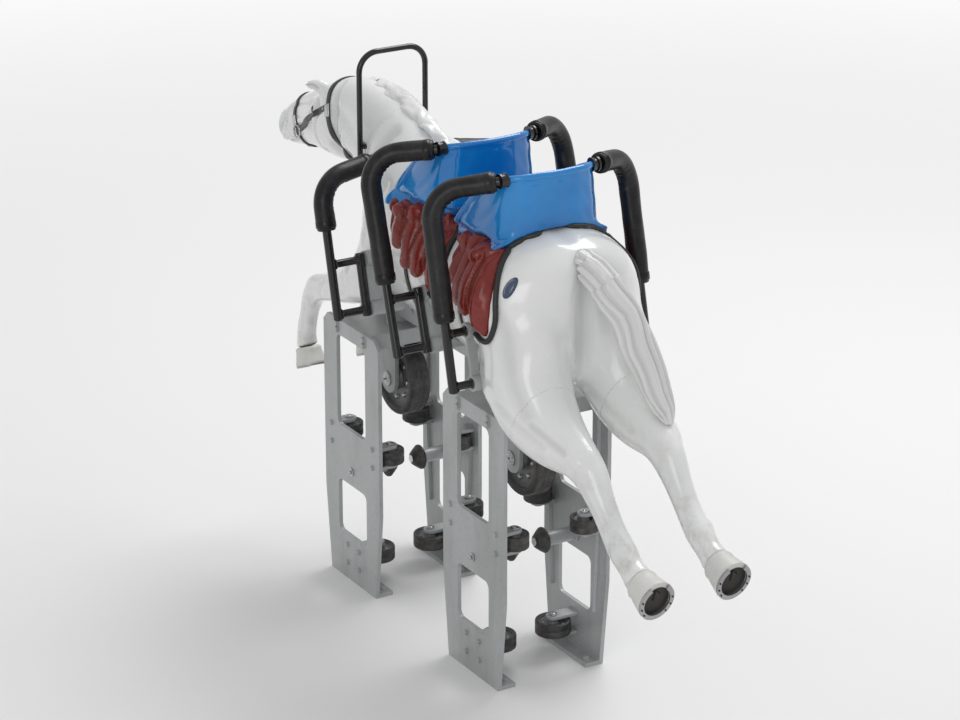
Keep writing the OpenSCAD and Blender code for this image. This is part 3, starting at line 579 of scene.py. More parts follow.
for coronet, sole, toe in HOOVES:
    for side in (1, -1):
        a = station(coronet[0], side * coronet[1], coronet[2])
        b = station(sole[0], side * sole[1], sole[2])
        one = bmesh.new()
        length = (a - b).length + 0.004
        share = length / HOOF_RINGS[0][0]
        first = bmesh.ops.create_circle(one, segments=44, radius=1)["verts"]
        ring_edges = one.edges[:]
        for i, (height, toe_r, heel_r, wide) in enumerate(HOOF_RINGS):
            if i:
                grown = bmesh.ops.extrude_edge_only(one, edges=ring_edges)["geom"]
                first = [g for g in grown if isinstance(g, bmesh.types.BMVert)]
                ring_edges = [g for g in grown if isinstance(g, bmesh.types.BMEdge)
                              and all(v in first for v in g.verts)]
                last = HOOF_RINGS[i - 1]
                for v in first:
                    v.co.x /= last[1] if v.co.x > 0 else last[2]
                    v.co.y /= last[3]
            egg_ring(first, toe_r, heel_r, wide)
            for v in first:
                v.co.z = -height * share + length
        base = bmesh.ops.holes_fill(one, edges=ring_edges, sides=0)["faces"]
        bmesh.ops.inset_region(one, faces=base, thickness=0.012, depth=0)
        base[0].material_index = 1
        bmesh.ops.inset_region(one, faces=base, thickness=0.002, depth=-0.006)
        frog = bmesh.ops.create_cone(one, cap_ends=True, segments=3, radius1=0.020, radius2=0.013,
                                     depth=0.007)["verts"]
        bmesh.ops.scale(one, verts=frog, vec=(1.35, 0.8, 1))
        bmesh.ops.translate(one, verts=frog, vec=(-0.016, 0, length - 0.008 * share - 0.0045))
        paint_faces(frog, 1)
        plate = [one.verts.new((x, 0, z)) for x, z in ((1, 0), (1, 1), (0.76, 1), (0.76, 0))]
        profile = one.faces.new(plate)
        bmesh.ops.rotate(one, verts=plate, matrix=Matrix.Rotation(math.radians(-148), 3, "Z"))
        bmesh.ops.spin(one, geom=[profile] + list(profile.edges) + plate, axis=(0, 0, 1),
                       angle=math.radians(296), steps=36, use_merge=False)
        shoe = {v for f in one.faces for v in f.verts if v.co.x ** 2 + v.co.y ** 2 > 0.2}
        for v in shoe:
            v.co.x *= 0.0565 if v.co.x > 0 else 0.0555
            v.co.y *= 0.0500
            v.co.z = length - 0.0085 * share + v.co.z * 0.0075
        for f in one.faces:
            if all(v in shoe for v in f.verts):
                f.material_index = 2
        for angle in (-98, -72, -46, 46, 72, 98):
            nail = bmesh.ops.create_cone(one, cap_ends=True, segments=4, radius1=0.0034, radius2=0.0022,
                                         depth=0.003)["verts"]
            a_cos, a_sin = math.cos(math.radians(angle)), math.sin(math.radians(angle))
            bmesh.ops.translate(one, verts=nail, vec=(a_cos * 0.050, a_sin * 0.0445, length + 0.0002))
            paint_faces(nail, 1)
        if a.x > 0:
            # The front hooves are slimmer
            bmesh.ops.scale(one, verts=one.verts, vec=(0.88, 0.88, 1))
        bmesh.ops.transform(one, matrix=turned_to(a, b - a, toe), verts=one.verts)
        bmesh.ops.recalc_face_normals(one, faces=one.faces)
        pour(one, bm)
hooves = link_piece("shod_hooves", bm, hoof_paint, smooth=False)
hooves.data.materials.append(sole_black)
hooves.data.materials.append(shoe_steel)
soft = [p.material_index == 0 and p.area < 0.0004 for p in hooves.data.polygons]
hooves.data.polygons.foreach_set("use_smooth", soft)
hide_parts("hooves")


# Tail. A glass-fibre moulding with deep waved strands, bonded to the dock and laid against the
# right thigh; the strands run the length of the tail and part into locks at its end.
TAIL_LINE = [
    (604, -2, 1224), (560, -10, 1230), (508, -36, 1188), (464, -72, 1108), (426, -102, 1012),
    (390, -122, 930), (356, -130, 868), (332, -132, 834),
]


def strand_frame(points, line):
    """How far along a line each point lies, in metres, and its angle round the line."""
    line = [np.array(p) for p in line]
    best = np.full(len(points), 9.0)
    along = np.zeros(len(points))
    angle = np.zeros(len(points))
    done = 0.0
    for p, q in zip(line[:-1], line[1:]):
        step = q - p
        size = np.linalg.norm(step)
        way = step / size
        side = np.cross(way, (0, 1, 0))
        side /= np.linalg.norm(side)
        up = np.cross(side, way)
        t = np.clip((points - p) @ way, 0, size)
        away = points - p - t[:, None] * way
        d = np.linalg.norm(away, axis=1)
        closer = d < best
        best[closer] = d[closer]
        along[closer] = done + t[closer]
        angle[closer] = np.arctan2(away[closer] @ up, away[closer] @ side)
        done += size
    return along, angle, done


def comb(bm, line, locks, depth, wave, wave_length, fine, seed):
    """Presses waved strands into a moulding along a line."""
    points = points_of(bm)
    bm.normal_update()
    normals = np.array([v.normal for v in bm.verts])
    along, angle, total = strand_frame(points, line)
    swing = wave * np.sin(2 * math.pi * along / wave_length + seed) + wave * 0.5 * np.sin(
        2 * math.pi * along / (wave_length * 0.43) + 2.1 * seed)
    a = angle + swing
    big = 0.5 + 0.5 * np.cos(locks * a + 1.3 * np.sin(3 * a + seed) + seed)
    small = 0.5 + 0.5 * np.cos(fine * a + 2.0 * np.sin(5 * a) + 6 * along / wave_length)
    ease = np.clip(along / 0.05, 0.15, 1) * np.clip((total - along) / 0.03, 0.3, 1)
    press = depth * ease * ((1 - big) ** 2 + 0.22 * (1 - small))
    set_points(bm, points - normals * press[:, None])
    return np.clip(press / (depth * 1.1), 0, 1)


def strands_marked(bm, value):
    """Stores how deep each point is pressed as the crease attribute, which the finish mixes towards its grime
    colour: painted shade in the white mouldings' grooves.
    """
    layer = bm.verts.layers.float.new("crease")
    for v, p in zip(bm.verts, value):
        v[layer] = p


# The grooves between the strands are painted grey: painted shade in the tail's and the mane's moulded hair
hair_coat = weathered("moulded hair", (0.77, 0.775, 0.765), (0.40, 0.41, 0.41), 0.18, 0.26, 0.25,
                      crease="crease", coat=0.4)
bm = one_skin(joined_copy("tail"), 0.003)
set_points(bm, relaxed(bm, points_of(bm), 0.5, 16))
strands_marked(bm, comb(bm, [station(*p) for p in TAIL_LINE], 8, 0.0080, 0.20, 0.34, 31, 0.6))
set_points(bm, relaxed(bm, points_of(bm), 0.35, 1))
tail = link_piece("combed_tail", bm, hair_coat)
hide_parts("tail")


# Mane. A moulded ridge of short locks along the crest, swept back by the gallop; it is bonded to
# the neck and is gel-coated with it.
def drawn_bar(bm, path, sizes, sides=12, side_hint=(0, 1, 0), material=0, ups=None):
    """A bar drawn along a path: one ring extruded from point to point. Sizes are half widths."""
    made = bmesh.ops.create_circle(bm, segments=sides, radius=1, cap_ends=False)["verts"]
    edges = list({e for v in made for e in v.link_edges})
    first_edges = edges
    everything, before = list(made), None
    side = Vector(side_hint)
    for i, p in enumerate(path):
        p = Vector(p)
        way = (Vector(path[min(i + 1, len(path) - 1)]) - Vector(path[max(i - 1, 0)])).normalized()
        if ups:
            side = Vector(ups[i]).cross(way)
        side = (side - way * side.dot(way)).normalized()
        a, b = sizes[i] if isinstance(sizes, list) else sizes
        section = Matrix((side * a, way.cross(side) * b, way)).transposed()
        now = Matrix.Translation(p) @ section.to_4x4()
        if before is None:
            bmesh.ops.transform(bm, matrix=now, verts=made)
        else:
            grown = bmesh.ops.extrude_edge_only(bm, edges=edges)["geom"]
            made = [g for g in grown if isinstance(g, bmesh.types.BMVert)]
            ring = set(made)
            edges = [g for g in grown
                     if isinstance(g, bmesh.types.BMEdge) and all(v in ring for v in g.verts)]
            bmesh.ops.transform(bm, matrix=now @ before.inverted(), verts=made)
            everything += made
        before = now
    caps = bmesh.ops.holes_fill(bm, edges=first_edges, sides=0)["faces"]
    caps += bmesh.ops.holes_fill(bm, edges=edges, sides=0)["faces"]
    faces = list({f for v in everything for f in v.link_faces})
    for f in faces:
        f.material_index = material
    bmesh.ops.recalc_face_normals(bm, faces=faces)
    return everything


CREST = [(1270, 1366), (1345, 1388), (1440, 1408), (1540, 1426), (1640, 1430), (1725, 1416), (1800, 1386)]
bm = joined_copy("mane")
LOCKS = [
    # station and height of the root, length, droop, lean to the right, thickness
    (1300, 1364, 84, 26, -8, 14), (1342, 1380, 92, 26, -12, 17), (1388, 1392, 98, 26, 6, 18),
    (1436, 1402, 100, 22, -14, 19), (1486, 1412, 98, 22, 5, 19), (1538, 1420, 102, 18, -14, 20),
    (1590, 1428, 98, 14, 6, 20), (1642, 1434, 98, 8, -12, 21), (1692, 1432, 92, 6, 6, 21),
    (1740, 1422, 86, 0, -8, 19), (1782, 1405, 74, -6, 4, 16),
]
for x, z, long, droop, lean, thick in LOCKS:
    route = [station(x + 12, 0, z - 26), station(x - 4, lean * 0.3, z - 6),
             station(x - long * 0.38, lean * 0.6, z + 2), station(x - long * 0.72, lean * 1.0, z - 3),
             station(x - long, lean * 1.4, z - droop)]
    route = [Vector(p) for p in smooth_path(route, 4)]
    wide = [(thick * s / 1000, thick * 0.62 * s / 1000) for s in np.interp(
        np.linspace(0, 1, len(route)), [0, 0.3, 0.6, 0.85, 1], [1.0, 1.1, 0.95, 0.7, 0.35])]
    drawn_bar(bm, route, wide, 12)
bm = one_skin(bm, 0.003)
set_points(bm, relaxed(bm, points_of(bm), 0.5, 9))
ridge = [station(x, -8, z - 34) for x, z in CREST]
strands_marked(bm, 0.5 * comb(bm, ridge, 6, 0.0024, 0.30, 0.16, 13, 0.2))
set_points(bm, relaxed(bm, points_of(bm), 0.5, 5))
mane = link_piece("combed_mane", bm, hair_coat)
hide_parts("mane")


# Number roundel. On each real car an oval enamelled plate is bedded on the left hip; it is left
# blank here, dark blue with a raised rim, and follows the curve of the moulding.
def plate_on_skin(bm, skin_of, spot, side, half_x, half_z, profile):
    """An oval plate bedded on the skin. Profile rows are (share of the radius, lift), from the rim in."""
    rim = bmesh.ops.create_circle(bm, cap_ends=True, segments=56, radius=1)["verts"]
    face = rim[0].link_faces[0]
    for last, now in zip(profile[:-1], profile[1:]):
        bmesh.ops.inset_region(bm, faces=[face], thickness=last[0] - now[0], use_boundary=True)
    lifts = sorted(profile)
    for v in bm.verts:
        r = min(math.hypot(v.co.x, v.co.y), 1)
        lift = float(np.interp(r, [p[0] for p in lifts], [p[1] for p in lifts]))
        hit, normal = side_hit(skin_of, spot[0] + v.co.x * half_x, side, spot[1] + v.co.y * half_z)
        v.co = hit + normal * lift
    bmesh.ops.recalc_face_normals(bm, faces=bm.faces)


enamel_blue = weathered("blank blue enamel", (0.030, 0.055, 0.12), (0.10, 0.11, 0.13), 0.45, 0.16, 0.3,
                        coat=0.8)
enamel_rim = weathered("enamel plate rim", (0.020, 0.040, 0.085), (0.16, 0.16, 0.16), 0.5, 0.3, 0.4)
HIP, HALF_WIDE, HALF_HIGH = (604, 1186), 12, 26
bm = bmesh.new()
plate_on_skin(bm, horse_skin, HIP, 1, HALF_WIDE, HALF_HIGH, [
    (1.0, -0.0004), (0.985, 0.0016), (0.95, 0.0027), (0.90, 0.0027), (0.86, 0.0014), (0.55, 0.0019),
    (0.2, 0.0022)])
roundel = link_piece("number_roundel", bm, enamel_blue)
roundel.data.materials.append(enamel_rim)
for face in roundel.data.polygons:
    away = (face.center - station(HIP[0], 0, HIP[1])) * 1000
    if (away.x / HALF_WIDE) ** 2 + (away.z / HALF_HIGH) ** 2 > 0.74:
        face.material_index = 1


# Bridle. Black leather straps are riveted to the moulded head: a headstall behind the jaw, a
# noseband, and a cheek strap on each side that ends in a steel bit ring.
def leather_colour(dark, worn):
    """A colour pattern for leather or rubber: dark, and paler where it is scuffed."""
    def build(nodes, links, place):
        scuff = ranged(nodes, links, noise(nodes, links, place, 34.0, 6.0, 0.7), 0.5, 0.72)
        return mixed(nodes, links, (*dark, 1), (*worn, 1), scuff)
    return build


def skin_ring(skin_of, centre, pitch, lift, start=-180, end=180, steps=72):
    """Points and normals round a moulding in a plane square to its axis, from angle to angle."""
    up = Vector((-math.sin(math.radians(pitch)), 0, math.cos(math.radians(pitch))))
    path, ups = [], []
    for k in range(steps + 1):
        a = math.radians(start + (end - start) * k / steps)
        out = up * math.cos(a) + Vector((0, 1, 0)) * math.sin(a)
        hit, normal = skin_of.ray_cast(centre + out * 0.4, -out)[:2]
        if hit is None:
            continue
        path.append(hit + normal * lift)
        ups.append(normal)
    return path, ups


def strap(bm, path, ups, half_width):
    """A strap drawn along a skin, its section squared to a flat one with rounded edges."""
    sides = 10
    made = drawn_bar(bm, path, (half_width, 0.0026), sides, ups=ups)
    for i, (p, up) in enumerate(zip(path, ups)):
        ring = made[i * sides:(i + 1) * sides]
        up = up.normalized()
        flat = max(abs((v.co - p).dot(up)) for v in ring)
        for v in ring:
            h = (v.co - p).dot(up)
            v.co += up * (math.copysign(flat * (abs(h) / flat) ** 0.3, h) - h)


strap_leather = weathered("black strap leather",
                          leather_colour((0.010, 0.010, 0.010), (0.045, 0.042, 0.040)),
                          (0.11, 0.10, 0.09), 0.35, 0.38, 0.9, coat=0.15, coat_rough=0.3)
steel = weathered("bright machined steel", (0.56, 0.56, 0.57), (0.20, 0.16, 0.13), 0.35, 0.24, 0.25,
                  metallic=1.0)
bm = bmesh.new()
STRAPS = [
    # station and height of the head's axis, pitch of the strap's plane
    (1768, 1312, -20), (2024, 1223, -21),
]
for x, z, pitch in STRAPS:
    path, ups = skin_ring(head_skin, station(x, 0, z), pitch, 0.0016)
    strap(bm, path, ups, 0.0100)
    # A steel keeper where the cheek strap joins on the left
    path, ups = skin_ring(head_skin, station(x, 0, z), pitch, 0.0052, 60, 84, 8)
    drawn_bar(bm, path, (0.0125, 0.0022), 8, ups=ups, material=1)
for side in (1, -1):
    cheek = [(1784, 1344), (1806, 1334), (1850, 1312), (1900, 1282), (1960, 1244), (2014, 1210)]
    path, ups = [], []
    for x, z in smooth_path(cheek, 6):
        hit, normal = side_hit(head_skin, x, side, z)
        path.append(hit + normal * 0.0022)
        ups.append(normal)
    strap(bm, path, ups, 0.0088)
    for k in (2, 6, len(path) - 3):
        add_ball(bm, path[k] + ups[k] * 0.0014, 0.0042, 14, 8, 1)
    hit, normal = side_hit(head_skin, 2020, side, 1206)
    ring = [hit + normal * 0.0045 + Vector((0.019 * math.cos(a), 0, 0.019 * math.sin(a)))
            for a in np.linspace(0, 2 * math.pi, 33)]
    drawn_bar(bm, ring, (0.0028, 0.0028), 8, side_hint=normal, material=1)
bridle = link_piece("riveted_bridle", bm, strap_leather)
bridle.data.materials.append(steel)
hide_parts("bridle")


# Seats. Each bucket is one glossy blue moulding: a low back that wraps round the rider, and a
# skirt that follows the horse's back. A rolled rim stiffens its top edge, and a black rubber
# piping closes the joint with the rump and runs down the rear edge of the saddle flap.
def shell_colour(nodes, links, place):
    """Blue gel coat that has bleached a little in clouds."""
    cloud = ranged(nodes, links, noise(nodes, links, place, 6.0, 3.0), 0.4, 0.7)
    return mixed(nodes, links, (0.004, 0.175, 0.520, 1), (0.008, 0.250, 0.650, 1), cloud)


seat_shell = weathered("blue seat gel coat", shell_colour, (0.10, 0.22, 0.42), 0.22, 0.17, 0.12,
                       crease="crease", coat=0.6, coat_rough=0.05, specular=0.3)
rubber = weathered("black rubber", (0.013, 0.013, 0.014), (0.09, 0.085, 0.08), 0.3, 0.42, 0.5)
SEATS = {"rear_seat": 672, "front_seat": 990}  # station of each seat's back
TRUNK_AXIS = 1110
FLAP_EDGES = {
    # rear edge of the saddle flap below each seat, as (station, height)
    672: [(674, 1252), (662, 1232), (643, 1200), (625, 1150), (617, 1100), (619, 1062), (634, 1040),
          (664, 1035), (694, 1044)],
    990: [(994, 1208), (972, 1180), (953, 1140), (939, 1100), (939, 1066), (952, 1046), (978, 1041),
          (1008, 1050)],
}
RIGHT_FORWARD = 38  # the right flap's rear edge lies this much further forward
# The rolled rim past the seat's back, as station, half width and height from the top
TOPS = [(0, 0, 0), (4, 50, 0), (18, 92, -3), (46, 118, -10), (90, 128, -28), (136, 130, -50),
        (168, 134, -80), (205, 138, -118), (240, 140, -156), (262, 139, -180)]
SEAT_TOP, SPREAD = 1452, 1.078


def rim_places(seat_x, side, rows, lower):
    return [station(seat_x + x, side * y * SPREAD, SEAT_TOP + z - lower) for x, y, z in rows]


seat_skins = []
for name, seat_x in SEATS.items():
    # The wings slant from the arm rest down to the front of the pan, and the skirt from the back forward
    bm = joined_copy(name)
    for x, z, way in ((272, 1262, (0.741, 0, 0.671)), (12, 1272, (-0.68, 0, -0.733))):
        cut = bmesh.ops.bisect_plane(bm, geom=bm.verts[:] + bm.edges[:] + bm.faces[:],
                                     plane_co=station(seat_x + x, 0, z), plane_no=way,
                                     clear_outer=True)["geom_cut"]
        bmesh.ops.holes_fill(bm, edges=[g for g in cut if isinstance(g, bmesh.types.BMEdge)], sides=0)
    bm = one_skin(bm, 0.0044)
    points = relaxed(bm, points_of(bm), 0.5, 14)
    set_points(bm, points)
    normals = np.array([v.normal for v in bm.verts])
    # The hand-laid shell is a little wavy, in long and in short waves
    x, y, z = (points * 1000).T
    wave = np.sin(x / 23 + z / 41) * np.sin(y / 31 + z / 57) * 0.0009
    wave += np.sin(x / 13 + z / 9 + 1.7 * np.sin(y / 26)) * np.sin(y / 12) * 0.0006
    set_points(bm, points + normals * wave[:, None])
    # The shell presses a shallow channel beside its rolled rim and a furrow where the sides fold down
    shade = np.zeros(len(points))
    points = points_of(bm)
    for side in (1, -1):
        channel = rim_places(seat_x, side, TOPS, 22)
        model_skin(points, normals, shade, smooth_path(channel, 4), 14, 2.0)
        fold = [station(seat_x + x, side * y * SPREAD, z) for x, y, z in (
            (40, 136, 1420), (76, 146, 1350), (128, 152, 1300), (190, 158, 1262))]
        model_skin(points, normals, shade, smooth_path(fold, 4), 18, 2.5)
    set_points(bm, points)
    strands_marked(bm, shade * 0.2)
    shell = link_piece(name + "_shell", bm, seat_shell)
    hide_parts(name)
    seat_skin = BVHTree.FromPolygons([v.co for v in shell.data.vertices],
                                     [p.vertices for p in shell.data.polygons])
    bm = bmesh.new()
    rim = rim_places(seat_x, -1, TOPS[::-1], 7) + rim_places(seat_x, 1, TOPS[1:], 7)
    rim = [Vector(p) for p in smooth_path(rim)]
    rolls = [(0.0092, 0.0085)] * len(rim)
    rolls[0] = rolls[-1] = (0.0060, 0.0055)
    drawn_bar(bm, rim, rolls, 14, side_hint=(1, 0, 0))
    rolled = link_piece(name + "_rolled_rim", bm, seat_shell)
    seat_skins.append(seat_skin)
    bm = bmesh.new()
    path = []
    # Over the rump the piping lies where the skirt's rear edge meets the horse
    for degrees in range(-42, 43, 3):
        out = Vector((0, math.sin(math.radians(degrees)), math.cos(math.radians(degrees))))
        for behind in range(-70, 30, 3):
            from_outside = station(seat_x + behind, 0, TRUNK_AXIS) + out * 0.6
            hit, normal = horse_skin.ray_cast(from_outside, -out)[:2]
            ahead = seat_skin.ray_cast(hit + normal * 0.006, Vector((1, 0, 0)), 0.008)[0]
            if ahead:
                break
        path.append(hit + normal * 0.004)
    for side in (1, -1):
        down = []
        for x, z in FLAP_EDGES[seat_x]:
            if side < 0:
                x += RIGHT_FORWARD
                if z > 1212:
                    continue
            hit, normal = side_hit(horse_skin, x, side, z)
            down.append(hit + normal * 0.005)
        path = path + down if side > 0 else down[::-1] + path
    path = [Vector(p) for p in smooth_path(path, 3)]
    drawn_bar(bm, path, (0.0075, 0.0075), 12, side_hint=(1, 0, 0))
    piping = link_piece(name + "_piping", bm, rubber)


# Saddle flaps. Dark red leather over foam, sewn into five upright rolls and held to the trunk below
# each seat's skirt. The foam is swelled in a cloth simulation, then the seams are drawn in.
flap_leather = weathered("dark red saddle leather",
                         leather_colour((0.205, 0.018, 0.012), (0.130, 0.012, 0.010)),
                         (0.22, 0.06, 0.045), 0.25, 0.28, 0.9, crease="crease", coat=0.3, coat_rough=0.14,
                         specular=0.3)
FLAP_PADS = {
    # for each seat, its pads from the rear forward: rows of (height, first station, last station)
    672: [
        [(1264, 690, 730), (1240, 668, 727), (1200, 648, 724), (1150, 630, 722), (1100, 622, 718),
         (1066, 624, 702), (1046, 636, 686)],
        [(1268, 726, 778), (1240, 722, 783), (1150, 722, 783), (1100, 723, 782), (1080, 730, 775)],
        [(1270, 780, 836), (1240, 780, 842), (1150, 780, 842), (1110, 781, 841), (1088, 788, 834)],
        [(1264, 838, 884), (1240, 838, 896), (1160, 838, 899), (1142, 840, 898), (1126, 848, 890)],
        [(1236, 893, 934), (1200, 895, 938), (1165, 895, 926), (1136, 893, 910)],
    ],
    990: [
        [(1258, 1014, 1048), (1236, 1006, 1045), (1210, 996, 1042), (1180, 978, 1041), (1140, 958, 1040),
         (1100, 944, 1036), (1066, 944, 1018), (1052, 956, 1004)],
        [(1262, 1044, 1096), (1240, 1040, 1101), (1150, 1040, 1101), (1100, 1041, 1100), (1080, 1048, 1093)],
        [(1264, 1098, 1154), (1240, 1098, 1160), (1150, 1098, 1160), (1110, 1099, 1159), (1088, 1106, 1152)],
        [(1258, 1156, 1202), (1236, 1156, 1214), (1160, 1156, 1217), (1142, 1158, 1216), (1126, 1166, 1208)],
        [(1250, 1218, 1250), (1226, 1213, 1256), (1196, 1213, 1250), (1165, 1213, 1236), (1136, 1211, 1226)],
    ],
}


def outermost(place, side, skins):
    """The hit on whichever skin lies farthest out beside the car."""
    hits = [skin_of.ray_cast(place, Vector((0, -side, 0)))[:2] for skin_of in skins]
    hits = [h for h in hits if h[0] is not None]
    return max(hits, key=lambda h: side * h[0].y) if hits else skins[0].find_nearest(place)[:2]


def skin_pad(bm, skins, rows, side, lift):
    """A pad laid on the car's side. Its section is domed, and its rim sinks into what it lies on."""
    grid = bmesh.ops.create_grid(bm, x_segments=14, y_segments=8 * len(rows), size=1)["verts"]
    faces = list({f for v in grid for f in v.link_faces})
    grown = bmesh.ops.extrude_face_region(bm, geom=faces)["geom"]
    raised = [g for g in grown if isinstance(g, bmesh.types.BMVert)]
    bmesh.ops.translate(bm, verts=raised, vec=(0, 0, 1))
    heights, firsts, lasts = zip(*rows[::-1])
    for v in grid + raised:
        z = heights[0] + (heights[-1] - heights[0]) * (v.co.y + 1) / 2
        first, last = float(np.interp(z, heights, firsts)), float(np.interp(z, heights, lasts))
        place = station(first + (last - first) * (v.co.x + 1) / 2, side * 500, z)
        hit, normal = outermost(place, side, skins)
        dome = (1 - abs(v.co.x) ** 2.6) ** 0.5 * (1 - abs(v.co.y) ** 9) ** 0.5
        v.co = hit + normal * (lift * dome - 0.001 if v.co.z > 0.5 else -0.006)
    bmesh.ops.recalc_face_normals(bm, faces=list({f for v in grid + raised for f in v.link_faces}))


bm = joined_copy("saddle_flaps")
for (seat_x, pads_below), seat_skin in zip(FLAP_PADS.items(), seat_skins):
    for side in (1, -1):
        for k, rows in enumerate(pads_below):
            if side < 0:
                # On the right the pads end lower, and the rear one lies further forward
                rows = [(min(z, 1205 + (z - 1205) * 0.3), first + (0 if k else RIGHT_FORWARD),
                         last + (0 if k else 8)) for z, first, last in rows]
            skin_pad(bm, (horse_skin, seat_skin), rows, side, 0.019 if k else 0.015)
bm = one_skin(bm, 0.0058)
set_points(bm, relaxed(bm, points_of(bm), 0.5, 4))
flaps = link_piece("saddle_flap_rolls", bm)
start = np.array([v.co for v in flaps.data.vertices])
stuffing = flaps.modifiers.new("stuffing", "CLOTH")
stuffing.point_cache.frame_start = 1
stuffing.point_cache.frame_end = 20
foam = stuffing.settings
foam.quality = 4
foam.mass = 0.3
foam.use_pressure = True
foam.uniform_pressure_force = 4.0
foam.effector_weights.gravity = 0
foam.tension_stiffness = foam.compression_stiffness = 12
for frame_number in range(1, 21):
    scene.frame_set(frame_number)
swelled = finished_mesh(flaps)
flaps.modifiers.clear()
scene.frame_set(1)
moved = np.array([v.co for v in swelled.vertices]) - start
bpy.data.meshes.remove(swelled)
size = np.linalg.norm(moved, axis=1)
moved *= (np.minimum(size, 0.006) / np.maximum(size, 1e-9))[:, None]
flaps.data.vertices.foreach_set("co", (start + moved).ravel())
finer = flaps.modifiers.new("finer", "SUBSURF")
finer.levels = finer.render_levels = 1
fine_mesh = finished_mesh(flaps)
flaps.modifiers.clear()
bm = bmesh.new()
bm.from_mesh(fine_mesh)
bpy.data.meshes.remove(fine_mesh)
bm.normal_update()
points = points_of(bm)
normals = np.array([v.normal for v in bm.verts])
shade = np.zeros(len(points))
flap_tree = BVHTree.FromBMesh(bm)
FLAP_SEAMS = [
    # seam's station past the seat's back, its upper and lower end
    (51, 1258, 1104), (111.5, 1262, 1070), (169.5, 1258, 1092), (226, 1236, 1132),
]
PUFFS = [
    # middle of a roll past the seat's back, its upper and lower end
    (6, 1190, 1080), (80, 1240, 1096), (140, 1246, 1100), (198, 1232, 1140),
]
FOLDS = [
    # middle of a fold past the seat's back, its height, and how far its front end lies above it
    (84, 1196, 9), (82, 1128, -8), (140, 1174, -8), (198, 1184, 8), (140, 1226, 7), (2, 1150, 8),
    (-4, 1104, -7),
]
for seat_x in SEATS.values():
    for side in (1, -1):
        for x, top, low in PUFFS:
            roll = skin_path(flap_tree, [(seat_x + x, top), (seat_x + x, low)], side)
            model_skin(points, normals, shade, roll, 30, -6)
        for x, top, low in FLAP_SEAMS:
            seam = [(seat_x + x, top), (seat_x + x + 1, (top + low) / 2), (seat_x + x, low)]
            model_skin(points, normals, shade, skin_path(flap_tree, seam, side), 9, 5, 0.8)
        for x, z, lean in FOLDS:
            fold = [(seat_x + x - 19, z - lean), (seat_x + x, z), (seat_x + x + 17, z + lean)]
            model_skin(points, normals, shade, skin_path(flap_tree, fold, side), 9, 1.5)
set_points(bm, relaxed(bm, points, 0.3, 2))
strands_marked(bm, shade * 0.8)
mesh = flaps.data
bm.to_mesh(mesh)
bm.free()
mesh.polygons.foreach_set("use_smooth", [True] * len(mesh.polygons))
mesh.materials.append(flap_leather)
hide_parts("saddle_flaps")
flap_tree = BVHTree.FromPolygons([v.co for v in mesh.vertices], [p.vertices for p in mesh.polygons])
bm = bmesh.new()
for seat_x in SEATS.values():
    for side in (1, -1):
        for x, top, low in FLAP_SEAMS:
            for z in range(int(low) + 8, top - 4, 9):
                for across in (-4.2, 4.2):
                    hit = side_hit(flap_tree, seat_x + x + across, side, z)[0]
                    if hit is None:
                        continue
                    stitch = add_ball(bm, hit, 0.0011, 6, 4)
                    bmesh.ops.scale(bm, verts=stitch, vec=(1, 1, 2.6), space=Matrix.Translation(-hit))
stitches = link_piece("saddle_flap_stitches", bm, rubber)


# Girth straps. A black leather strap runs from under each saddle flap down round the belly to the
# chassis beam, and holds the flap to the moulding.
bm = bmesh.new()
GIRTHS = [
    # station at the flap and at the belly, angle round the trunk where it starts and ends, in degrees
    (1152, 1100, 96, 164), (820, 736, 98, 152),
]
for first, last, start, end in GIRTHS:
    for side in (1, -1):
        path, ups = [], []
        for k in range(19):
            a = math.radians(start + (end - start) * k / 18)
            out = Vector((0, side * math.sin(a), math.cos(a)))
            x = first + (last - first) * (k / 18) ** 1.4
            hit, normal = horse_skin.ray_cast(station(x, 0, TRUNK_AXIS) + out * 0.5, -out)[:2]
            path.append(hit + normal * 0.0022)
            ups.append(normal)
        strap(bm, path, ups, 0.0095)
girths = link_piece("girth_straps", bm, strap_leather)


# Hoop and guard bars. Gloss black steel tube, bent cold and welded; the bars start at a flange on
# the seat or neck and carry two foot rungs. Weld beads, end bosses and hoop feet are added here.
def turned(bm, profile, matrix, sides=32, material=0):
    """A turned part: rows of (radius, height) spun round an axis."""
    chain = [bm.verts.new((r, 0, h)) for r, h in profile]
    edges = [bm.edges.new(pair) for pair in zip(chain[:-1], chain[1:])]
    before = set(bm.verts)
    bmesh.ops.spin(bm, geom=chain + edges, axis=(0, 0, 1), cent=(0, 0, 0), angle=2 * math.pi, steps=sides,
                   use_merge=True)
    verts = list(set(chain) | (set(bm.verts) - before))
    faces = {f for v in verts for f in v.link_faces}
    bmesh.ops.remove_doubles(bm, verts=verts, dist=1e-6)
    verts = list({v for f in faces if f.is_valid for v in f.verts})
    faces = [f for f in faces if f.is_valid]
    for f in faces:
        f.material_index = material
    bmesh.ops.recalc_face_normals(bm, faces=faces)
    bmesh.ops.transform(bm, matrix=matrix, verts=verts)
    return verts


def facing(place, way, hint=(0, 0, 1)):
    """A frame at a place whose Z points along a way."""
    z = Vector(way).normalized()
    x = Vector(hint) - z * z.dot(Vector(hint))
    if x.length < 0.1:
        x = Vector((1, 0, 0)) - z * z.x
    x.normalize()
    return Matrix.Translation(place) @ Matrix((x, z.cross(x), z)).transposed().to_4x4()


